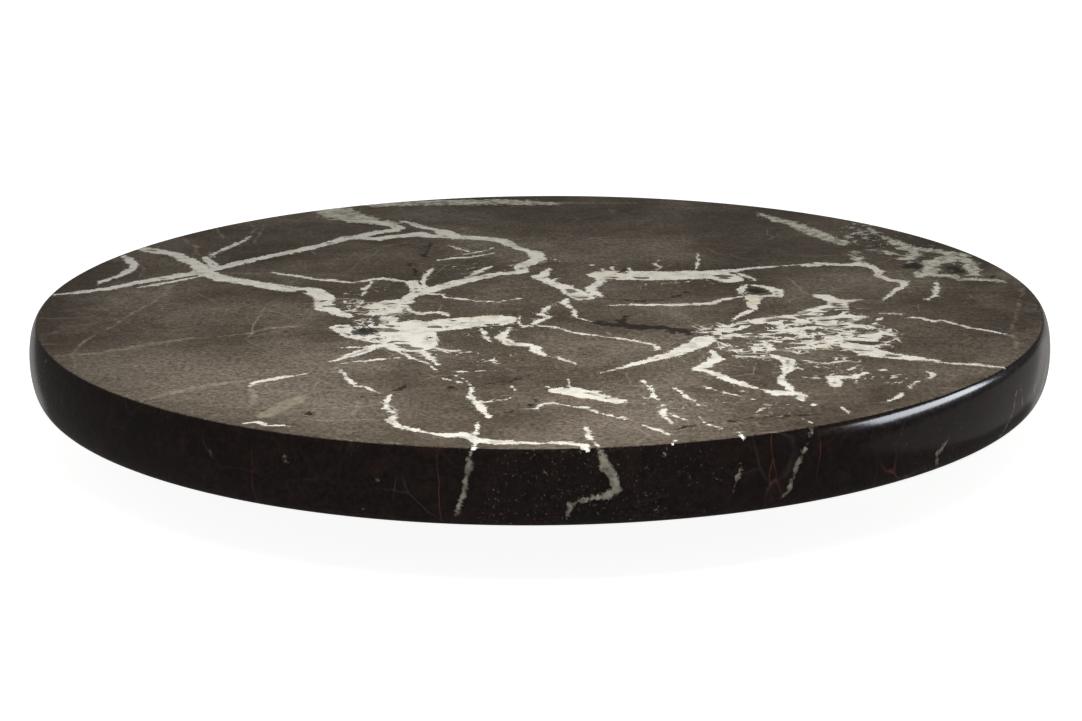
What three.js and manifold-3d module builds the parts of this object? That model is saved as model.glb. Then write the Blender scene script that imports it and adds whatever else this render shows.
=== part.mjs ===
// A round marble lazy susan: a heavy stone top that spins on a thin pressed-steel ball bearing,
// which is screwed to a smaller wooden base disc on four rubber feet.
// Millimetres, +Z up. The origin is on the surface it stands on, on the axis it spins about.

import * as THREE from 'three';
import { mergeVertices } from 'three/addons/utils/BufferGeometryUtils.js';
import Module from 'manifold-3d';

const wasm = await Module();
wasm.setup();

// ---- Driving dimensions ----

const SLAB_DIAMETER = 300;
const SLAB_THICKNESS = 20;
const SLAB_EDGE_BULGE = 3;        // how far the rounded edge stands out past the flat faces

const FOOT_RADIUS = 10;
const FOOT_HEIGHT = 4;
const FOOT_CIRCLE = 74;           // radius of the circle that the feet stand on
const FOOT_SCREW_SEAT = 2.2;      // where the foot screw's head sits, up inside the foot

const BASE_DIAMETER = 180;
const BASE_THICKNESS = 8;
const BASE_EDGE_ROUND = 2.5;
const FOOT_POCKET_DEPTH = 1;      // the feet sit this deep in the base disc
const ACCESS_HOLE_RADIUS = 6;     // a screwdriver goes up through it to the upper plate's screws

const BEARING_HEIGHT = 8;         // from the base disc to the slab
const PLATE_SIDE = 102;
const PLATE_CORNER_ROUND = 10;
const PLATE_THICKNESS = 1.2;
const PLATE_SCREW_CIRCLE = 58;    // radius of the circle through a plate's four corner holes
const PLATE_SEAT_GAP = 0.2;       // the upper plate is bedded on a film of adhesive this thick

// The pressed section of a plate: radii outwards from the axis, and heights above its underside.
const DISH = { rim: 15.5, foot: 18, height: 2.9 };                     // round the rivet
const RACE = { foot: 35, ridge: 36.5, height: 2.4, outerRidge: 45.5, outerFoot: 47 };
const FLANGE_HOLE = 48;           // the race is joined to the square flange round this hole

const BALL_COUNT = 12;
const BALL_RADIUS = 2.38;
const BALL_CIRCLE = 41;
const RACE_CLEARANCE = 0.35;      // between a ball and the pressed groove it runs in

const CAGE_THICKNESS = 1.6;
const CAGE_RADIUS = 46;
const CAGE_WINDOWS = 6;
const WINDOW_RADIUS = 7;
const WINDOW_CIRCLE = 22;

const RIVET_RADIUS = 5.5;
const RIVET_BORE = 4.3;
const RIVET_FLANGE = { radius: 8.5, thickness: 0.7 };
const WASHER_RADIUS = 10;
const WASHER_THICKNESS = 0.5;

// ---- Levels worked out from them ----

const BASE_BOTTOM = FOOT_HEIGHT - FOOT_POCKET_DEPTH;
const BASE_TOP = BASE_BOTTOM + BASE_THICKNESS;
const SLAB_BOTTOM = BASE_TOP + BEARING_HEIGHT;
const SLAB_TOP = SLAB_BOTTOM + SLAB_THICKNESS;
const BALL_LEVEL = (BASE_TOP + SLAB_BOTTOM) / 2;
const FIT_GAP = 0.3;              // left around screws, inserts and feet in their holes
const QUARTER = Math.PI / 2;

// ---- Materials ----

const paint = (color, roughness, metalness) =>
  new THREE.MeshStandardMaterial({ color, roughness, metalness });

const marble = paint(0x332c26, 0.3, 0);
const stainedBeech = paint(0x3a2a1f, 0.55, 0);
const zincSteel = paint(0xb4b6b8, 0.38, 1);
const ballSteel = paint(0xd6d8da, 0.12, 1);
const brass = paint(0xc09a4c, 0.35, 1);
const nylon = paint(0xe6e2d6, 0.5, 0);
const rubber = paint(0x1b1b1c, 0.85, 0);

// ---- Shape helpers ----

// Points of an ellipse's arc, from one angle to another.
function arc(x, y, radiusX, radiusY, from, to, steps) {
  return Array.from({ length: steps + 1 }, (_, i) => {
    const angle = from + (to - from) * (i / steps);
    return [x + radiusX * Math.cos(angle), y + radiusY * Math.sin(angle)];
  });
}

// Points spread round a circle.
function circle(x, y, radius, steps) {
  return arc(x, y, radius, radius, 0, 2 * Math.PI, steps)
    .slice(0, steps)
    .map(([px, py]) => new THREE.Vector2(px, py));
}

// A profile of [radius, height] points, listed upwards on the outside, turned about the Z axis.
function turned(profile, segments) {
  const points = profile.map(([radius, height]) => new THREE.Vector2(radius, height));
  return new THREE.LatheGeometry(points, segments).rotateX(QUARTER);
}

// A plain round bar along Z, standing on the level z0.
function bar(radius, z0, z1, segments, x = 0, y = 0) {
  return new THREE.CylinderGeometry(radius, radius, z1 - z0, segments)
    .rotateX(QUARTER)
    .translate(x, y, (z0 + z1) / 2);
}

// A flat plate cut from an outline with round holes, standing on the level z0.
function plate(outline, holes, z0, thickness) {
  const shape = new THREE.Shape(outline);
  shape.holes = holes.map(({ x, y, radius, steps }) => new THREE.Path(circle(x, y, radius, steps)));
  return new THREE.ExtrudeGeometry(shape, { depth: thickness, bevelEnabled: false })
    .translate(0, 0, z0);
}

function toSolid(geometry) {
  const bare = geometry.clone();
  bare.deleteAttribute('normal');
  bare.deleteAttribute('uv');
  const merged = mergeVertices(bare, 1e-4);
  return new wasm.Manifold(new wasm.Mesh({
    numProp: 3,
    vertProperties: new Float32Array(merged.attributes.position.array),
    triVerts: new Uint32Array(merged.index.array),
  }));
}

function toGeometry(solid) {
  const mesh = solid.getMesh();
  const geometry = new THREE.BufferGeometry();
  geometry.setAttribute('position', new THREE.BufferAttribute(mesh.vertProperties, mesh.numProp));
  geometry.setIndex(new THREE.BufferAttribute(mesh.triVerts, 1));
  return geometry;
}

const cut = (body, tools) =>
  toGeometry(tools.reduce((solid, tool) => solid.subtract(toSolid(tool)), toSolid(body)));

const join = (first, second) => toGeometry(toSolid(first).add(toSolid(second)));

// The places of `count` copies spread evenly round the axis.
const ring = (count, radius, start = 0) =>
  Array.from({ length: count }, (_, i) => {
    const angle = start + (2 * Math.PI * i) / count;
    return { x: radius * Math.cos(angle), y: radius * Math.sin(angle), angle, number: i + 1 };
  });

const FOOT_PLACES = ring(4, FOOT_CIRCLE, QUARTER / 2);
const LOWER_SCREW_PLACES = ring(4, PLATE_SCREW_CIRCLE, QUARTER / 2);
const UPPER_SCREW_PLACES = ring(4, PLATE_SCREW_CIRCLE);
const BALL_PLACES = ring(BALL_COUNT, BALL_CIRCLE);

const susan = new THREE.Group();

function add(name, geometry, material, { x = 0, y = 0, z = 0 } = {}) {
  const mesh = new THREE.Mesh(geometry, material);
  mesh.name = name;
  mesh.position.set(x, y, z);
  susan.add(mesh);
}

// ---- Fasteners ----

const INSERT = { radius: 4, bore: 2.75, length: 12 };
const MACHINE_SCREW = { shank: 2.5, head: 4.5, headHeight: 1.6, length: 10 };
const WOOD_SCREW = { shank: 1.8, head: 3.5, headHeight: 1.6, length: 6.5 };
const FOOT_SCREW = { shank: 1.5, head: 3.3, headHeight: 1.5, length: 6.5 };
const SOCKET_DEPTH = 0.9;
const SOCKET_SHARE = 0.42;        // the drive socket's radius as a share of the head's

// A pan-head screw with its shank hanging down from z = 0 and its head standing on z = 0.
function screw({ shank, head, headHeight, length }) {
  const tip = shank * 0.5;
  const outline = [
    [0, -length],
    [tip, -length],
    [shank, -length + shank],
    [shank, 0],
    [head, 0],
    [head, headHeight * 0.5],
    [head * 0.78, headHeight],
    [0, headHeight],
  ];
  const socket = bar(head * SOCKET_SHARE, headHeight - SOCKET_DEPTH, headHeight + 1, 6);
  return cut(turned(outline, 10), [socket]);
}

// ---- Marble top ----

function marbleTop() {
  const flat = SLAB_DIAMETER / 2 - SLAB_EDGE_BULGE;
  const middle = (SLAB_BOTTOM + SLAB_TOP) / 2;
  const edge = arc(flat, middle, SLAB_EDGE_BULGE, SLAB_THICKNESS / 2, -QUARTER, QUARTER, 6);
  const slab = turned([[0, SLAB_BOTTOM], ...edge, [0, SLAB_TOP]], 72);
  const holeTop = SLAB_BOTTOM + INSERT.length + FIT_GAP;
  return cut(slab, UPPER_SCREW_PLACES.map(({ x, y }) =>
    bar(INSERT.radius + FIT_GAP, SLAB_BOTTOM - 1, holeTop, 14, x, y)));
}

function insert() {
  const { radius, bore, length } = INSERT;
  const waist = radius - 0.5;     // a groove round the middle that the adhesive keys into
  return turned([
    [bore, 0],
    [radius, 0],
    [radius, length * 0.35],
    [waist, length * 0.45],
    [waist, length * 0.6],
    [radius, length * 0.7],
    [radius, length],
    [bore, length],
    [bore, 0],
  ], 10);
}

// ---- Bearing plates ----

// One pressed plate, lying flat on z = 0: a square flange with a ball race and a dished middle.
function bearingPlate() {
  const low = PLATE_THICKNESS;
  const ballLevel = BALL_LEVEL - BASE_TOP;
  const groove = BALL_RADIUS + RACE_CLEARANCE;
  const mouth = Math.asin((ballLevel - RACE.height) / groove);
  const grooveArc =
    arc(BALL_CIRCLE, ballLevel, groove, groove, Math.PI + mouth, 2 * Math.PI - mouth, 4);
  const section = (bottomOfGroove) => [
    [RIVET_RADIUS + 0.5, DISH.height],
    [DISH.rim, DISH.height],
    [DISH.foot, low],
    [RACE.foot, low],
    [RACE.ridge, RACE.height],
    ...bottomOfGroove,
    [RACE.outerRidge, RACE.height],
    [RACE.outerFoot, low],
    [FLANGE_HOLE + 1, low],
  ];
  const top = section(grooveArc);
  const underside = section([
    [BALL_CIRCLE - 1.4, ballLevel - groove],
    [BALL_CIRCLE + 1.4, ballLevel - groove],
  ]).map(([radius, height]) => [radius, height - PLATE_THICKNESS]);
  const race = turned([...underside, ...top.reverse(), underside[0]], 36);

  const half = PLATE_SIDE / 2;
  const corner = half - PLATE_CORNER_ROUND;
  const round = PLATE_CORNER_ROUND;
  const outline = ring(4, corner * Math.SQRT2, QUARTER / 2)
    .flatMap(({ x, y, angle }) =>
      arc(x, y, round, round, angle - QUARTER / 2, angle + QUARTER / 2, 5))
    .map(([x, y]) => new THREE.Vector2(x, y));
  const holes = [
    { x: 0, y: 0, radius: FLANGE_HOLE, steps: 36 },
    ...LOWER_SCREW_PLACES.map(({ x, y }) =>
      ({ x, y, radius: MACHINE_SCREW.shank + FIT_GAP, steps: 12 })),
  ];
  return join(plate(outline, holes, 0, PLATE_THICKNESS), race);
}

// ---- Ball cage ----

function ballCage() {
  const pocket = BALL_RADIUS + FIT_GAP;
  const windows = ring(CAGE_WINDOWS, WINDOW_CIRCLE, Math.PI / CAGE_WINDOWS);
  const holes = [
    { x: 0, y: 0, radius: RIVET_RADIUS + 0.4, steps: 20 },
    ...windows.map(({ x, y }) => ({ x, y, radius: WINDOW_RADIUS, steps: 12 })),
    ...BALL_PLACES.map(({ x, y }) => ({ x, y, radius: pocket, steps: 10 })),
  ];
  const level = BALL_LEVEL - CAGE_THICKNESS / 2;
  return plate(circle(0, 0, CAGE_RADIUS, 48), holes, level, CAGE_THICKNESS);
}

// ---- Pivot ----

const DISH_UNDERSIDE = DISH.height - PLATE_THICKNESS;
const LOWER_DISH_UNDER = BASE_TOP + DISH_UNDERSIDE;
const UPPER_DISH_TOP = SLAB_BOTTOM - PLATE_SEAT_GAP - DISH_UNDERSIDE;

// The hollow rivet that holds the two plates together, with a flange rolled over at each end.
function pivotRivet() {
  const { radius: flange, thickness } = RIVET_FLANGE;
  const lowerFlangeTop = LOWER_DISH_UNDER - 0.2;
  const upperFlangeBottom = UPPER_DISH_TOP + WASHER_THICKNESS + 0.2;
  return turned([
    [RIVET_BORE, lowerFlangeTop - thickness],
    [flange, lowerFlangeTop - thickness],
    [flange, lowerFlangeTop],
    [RIVET_RADIUS, lowerFlangeTop],
    [RIVET_RADIUS, upperFlangeBottom],
    [flange, upperFlangeBottom],
    [flange, upperFlangeBottom + thickness],
    [RIVET_BORE, upperFlangeBottom + thickness],
    [RIVET_BORE, lowerFlangeTop - thickness],
  ], 16);
}

function pivotWasher() {
  const bottom = UPPER_DISH_TOP + 0.1;
  const inner = RIVET_RADIUS + 0.3;
  return turned([
    [inner, bottom],
    [WASHER_RADIUS, bottom],
    [WASHER_RADIUS, bottom + WASHER_THICKNESS],
    [inner, bottom + WASHER_THICKNESS],
    [inner, bottom],
  ], 16);
}

// ---- Base disc and feet ----

function baseDisc() {
  const radius = BASE_DIAMETER / 2;
  const inner = radius - BASE_EDGE_ROUND;
  const disc = turned([
    [0, BASE_BOTTOM],
    ...arc(inner, BASE_BOTTOM + BASE_EDGE_ROUND, BASE_EDGE_ROUND, BASE_EDGE_ROUND, -QUARTER, 0, 3),
    ...arc(inner, BASE_TOP - BASE_EDGE_ROUND, BASE_EDGE_ROUND, BASE_EDGE_ROUND, 0, QUARTER, 3),
    [0, BASE_TOP],
  ], 48);
  const pocketTop = BASE_BOTTOM + FOOT_POCKET_DEPTH;
  const lowerScrewTip = BASE_TOP + PLATE_THICKNESS - WOOD_SCREW.length - FIT_GAP;
  const footScrewTip = FOOT_SCREW_SEAT + FOOT_SCREW.length + FIT_GAP;
  const access = UPPER_SCREW_PLACES[0];
  return cut(disc, [
    ...FOOT_PLACES.map(({ x, y }) =>
      bar(FOOT_RADIUS + FIT_GAP, BASE_BOTTOM - 1, pocketTop, 16, x, y)),
    ...FOOT_PLACES.map(({ x, y }) =>
      bar(FOOT_SCREW.shank + FIT_GAP, BASE_BOTTOM, footScrewTip, 10, x, y)),
    ...LOWER_SCREW_PLACES.map(({ x, y }) =>
      bar(WOOD_SCREW.shank + FIT_GAP, lowerScrewTip, BASE_TOP + 1, 10, x, y)),
    bar(ACCESS_HOLE_RADIUS, BASE_BOTTOM - 1, BASE_TOP + 1, 16, access.x, access.y),
  ]);
}

function rubberFoot() {
  const bottom = FOOT_RADIUS - 1;
  const wellRadius = FOOT_SCREW.head + FIT_GAP;
  const bore = FOOT_SCREW.shank + FIT_GAP;
  return turned([
    [wellRadius, 0],
    [bottom, 0],
    [FOOT_RADIUS, 1],
    [FOOT_RADIUS, FOOT_HEIGHT],
    [bore, FOOT_HEIGHT],
    [bore, FOOT_SCREW_SEAT],
    [wellRadius, FOOT_SCREW_SEAT],
    [wellRadius, 0],
  ], 14);
}

// ---- Assembly ----

add('marble_top', marbleTop(), marble);
for (const { x, y, number } of UPPER_SCREW_PLACES) {
  add(`slab_insert_${number}`, insert(), brass, { x, y, z: SLAB_BOTTOM });
  add(`upper_plate_screw_${number}`, screw(MACHINE_SCREW).rotateX(Math.PI), zincSteel,
    { x, y, z: SLAB_BOTTOM - PLATE_SEAT_GAP - PLATE_THICKNESS });
}

const upperPlate = bearingPlate().rotateX(Math.PI).rotateZ(QUARTER / 2);
add('upper_bearing_plate', upperPlate, zincSteel, { z: SLAB_BOTTOM - PLATE_SEAT_GAP });
add('lower_bearing_plate', bearingPlate(), zincSteel, { z: BASE_TOP });
add('ball_cage', ballCage(), nylon);
for (const { x, y, number } of BALL_PLACES) {
  const ball = new THREE.SphereGeometry(BALL_RADIUS, 8, 6);
  add(`bearing_ball_${String(number).padStart(2, '0')}`, ball, ballSteel, { x, y, z: BALL_LEVEL });
}
add('pivot_rivet', pivotRivet(), zincSteel);
add('pivot_washer', pivotWasher(), brass);

add('base_disc', baseDisc(), stainedBeech);
for (const { x, y, number } of LOWER_SCREW_PLACES) {
  add(`lower_plate_screw_${number}`, screw(WOOD_SCREW), zincSteel,
    { x, y, z: BASE_TOP + PLATE_THICKNESS });
}
for (const { x, y, number } of FOOT_PLACES) {
  add(`rubber_foot_${number}`, rubberFoot(), rubber, { x, y });
  add(`foot_screw_${number}`, screw(FOOT_SCREW).rotateX(Math.PI), zincSteel,
    { x, y, z: FOOT_SCREW_SEAT });
}

export default susan;
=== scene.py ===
"""A round marble lazy susan: a stone top on a pressed-steel ball bearing, over a small wooden
base disc on four rubber feet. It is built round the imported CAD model, which gives every place.

Everything is in metres, +Z up, with the origin on the surface it stands on, on the spin axis."""

import math

import bmesh
import bpy
from bpy.props import FloatProperty, FloatVectorProperty, IntProperty, PointerProperty
from mathutils import Matrix, Vector


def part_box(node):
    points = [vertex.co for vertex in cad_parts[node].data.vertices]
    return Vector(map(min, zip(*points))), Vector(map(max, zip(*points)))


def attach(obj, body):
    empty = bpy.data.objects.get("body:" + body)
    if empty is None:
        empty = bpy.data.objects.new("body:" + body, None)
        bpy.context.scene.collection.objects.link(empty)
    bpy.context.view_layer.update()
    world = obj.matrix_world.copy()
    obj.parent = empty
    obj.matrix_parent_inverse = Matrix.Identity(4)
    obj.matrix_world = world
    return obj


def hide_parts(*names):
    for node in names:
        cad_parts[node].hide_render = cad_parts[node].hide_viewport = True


bl_info = {
    "name": "Marble Lazy Susan",
    "version": (1, 0, 0),
    "blender": (4, 5, 0),
    "location": "3D View > Sidebar > Lazy Susan",
    "description": "Builds a marble lazy susan turntable with its bearing, base disc and feet",
    "category": "Add Mesh",
}

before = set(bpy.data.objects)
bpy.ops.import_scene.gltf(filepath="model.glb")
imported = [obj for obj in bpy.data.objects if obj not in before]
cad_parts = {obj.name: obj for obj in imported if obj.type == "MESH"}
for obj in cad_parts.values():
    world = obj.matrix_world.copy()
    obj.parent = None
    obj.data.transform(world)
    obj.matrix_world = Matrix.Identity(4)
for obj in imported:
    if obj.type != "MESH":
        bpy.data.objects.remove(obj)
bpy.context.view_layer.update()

MM = 0.001
QUARTER_TURN = math.pi / 2
FULL_TURN = 2 * math.pi
SHARP_ANGLE = math.radians(35)
FAR = 1000.0  # millimetres, further than any vein
TAPERED_BELOW = 3.8  # millimetres of width


def linear(code):
    """An sRGB hex colour as linear red, green and blue."""
    channels = (int(code[i : i + 2], 16) / 255 for i in (0, 2, 4))
    return tuple(c / 12.92 if c <= 0.04045 else ((c + 0.055) / 1.055) ** 2.4 for c in channels)


# ---- Sizes and places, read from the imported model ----

SLAB_LOW, SLAB_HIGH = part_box("marble_top")
SLAB_RADIUS = SLAB_HIGH.x
SLAB_BOTTOM, SLAB_TOP = SLAB_LOW.z, SLAB_HIGH.z
BASE_LOW, BASE_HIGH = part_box("base_disc")
PLATE_LOW, PLATE_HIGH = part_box("lower_bearing_plate")
UPPER_PLATE_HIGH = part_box("upper_bearing_plate")[1]
CAGE_LOW, CAGE_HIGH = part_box("ball_cage")
RIVET_LOW, RIVET_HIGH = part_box("pivot_rivet")
WASHER_LOW, WASHER_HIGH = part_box("pivot_washer")
BALL_LEVEL = (CAGE_LOW.z + CAGE_HIGH.z) / 2

BALL_NAMES = [f"bearing_ball_{number:02d}" for number in range(1, 13)]
FOUR = (1, 2, 3, 4)


def centre_of(node):
    """The middle of a CAD node's box."""
    low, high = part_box(node)
    return (low + high) / 2


# ---- Settings that a user would change ----


class SusanSizes(bpy.types.PropertyGroup):
    """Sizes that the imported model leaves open."""

    edge_bulge: FloatProperty(
        name="Edge bulge",
        description="How far the rounded edge of the stone stands out past its flat faces",
        default=3 * MM,
        subtype="DISTANCE",
        unit="LENGTH",
    )
    slab_steps: IntProperty(
        name="Slab steps",
        description="Steps round the stone top",
        default=288,
        min=48,
    )
    base_round: FloatProperty(
        name="Base edge round",
        description="Rounding of the wooden disc's edges",
        default=2.5 * MM,
        subtype="DISTANCE",
        unit="LENGTH",
    )
    sheet_thickness: FloatProperty(
        name="Sheet thickness",
        description="Thickness of the steel that the bearing plates are pressed from",
        default=1.2 * MM,
        subtype="DISTANCE",
        unit="LENGTH",
    )


def colour(name, description, code):
    """A colour setting with an sRGB hex default."""
    return FloatVectorProperty(
        name=name,
        description=description,
        default=linear(code),
        subtype="COLOR",
        size=3,
        min=0,
        max=1,
    )


class SusanColours(bpy.types.PropertyGroup):
    """Colours of the stone, wood, metals and plastics."""

    honed_stone: colour("Honed stone", "Ground colour of the marble's top face", "564D42")
    # Also painted shade: the top face darkened near its left and right rims; elsewhere darker clouds of
    # stone.
    honed_dark_and_shade: colour("Honed stone, dark", "Darker clouds in the top face", "443B31")
    # Also painted sheen: a paler patch at the front left of the top face that stands for glare; elsewhere
    # paler stone.
    honed_pale_and_sheen: colour("Honed stone, pale", "Paler clouds in the top face", "6E655A")
    # Near black: partly the polished stone's own deeper tone, partly painted shade of the edge.
    polished_stone_and_shade: colour("Polished stone", "Ground colour of the polished edge", "0E0909")
    calcite: colour("Calcite", "White of the thick veins", "E4E2DA")
    grey_calcite: colour("Grey calcite", "Grey that clouds the white veins", "ABA798")
    cream_calcite: colour("Cream calcite", "Warm stain in the white veins", "D6CBAA")
    green_vein: colour("Green-grey vein", "Wide greenish veins near the back rim", "D4D3C4")
    tan_vein: colour("Tan vein", "Faint tan veins and healed cracks", "A89E8C")
    crack: colour("Crack", "Dark healed cracks and smudges", "1D1813")
    iron_stain: colour("Iron stain", "Reddish threads in the stone", "5A3326")
    stained_beech: colour("Stained beech", "Body of the base disc", "4A3122")
    stained_pore: colour("Stain in the pores", "Darker lines of the wood grain", "271710")
    zinc: colour("Zinc", "Plated steel of plates and rivet", "B9BCBE")
    chrome_steel: colour("Chrome steel", "Bearing balls", "D4D6D8")
    brass: colour("Brass", "Inserts and washer", "C29B4E")
    nylon: colour("Nylon", "Ball cage", "E2DECF")
    rubber: colour("Rubber", "Feet", "1D1D1E")


# ---- Shaders ----


def add(tree, kind, inputs=(), out=0, **settings):
    """Adds a node with its settings, fills its inputs, by place or name, and returns an output."""
    new = tree.nodes.new("ShaderNode" + kind)
    new.location = (len(tree.nodes) * 180, 0)
    for name, value in settings.items():
        setattr(new, name, value)
    pairs = inputs.items() if isinstance(inputs, dict) else enumerate(inputs)
    for key, value in pairs:
        if isinstance(value, bpy.types.NodeSocket):
            tree.links.new(value, new.inputs[key])
        elif value is not None:
            new.inputs[key].default_value = value
    return new.outputs[out]


def blank_material(name):
    """A new material with an empty node tree, and that tree."""
    material = bpy.data.materials.new(name)
    material.use_nodes = True
    material.node_tree.nodes.clear()
    return material, material.node_tree


def in_mm(tree):
    """The Object coordinates in millimetres."""
    place = add(tree, "TexCoord", out=3)
    return add(tree, "VectorMath", {0: place, 3: 1 / MM}, operation="SCALE")


def finish_material(tree, shader):
    """Wires a shader to the tree's output."""
    out = tree.nodes.new("ShaderNodeOutputMaterial")
    tree.links.new(shader, out.inputs["Surface"])


def with_alpha(rgb):
    """A colour setting as the four numbers that a colour socket takes."""
    return (*rgb, 1.0)


# The veins of the stone, listed one by one. Each is the full widths spread evenly along it, then
# its points, in millimetres to the right and to the back of the spin axis.

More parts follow.
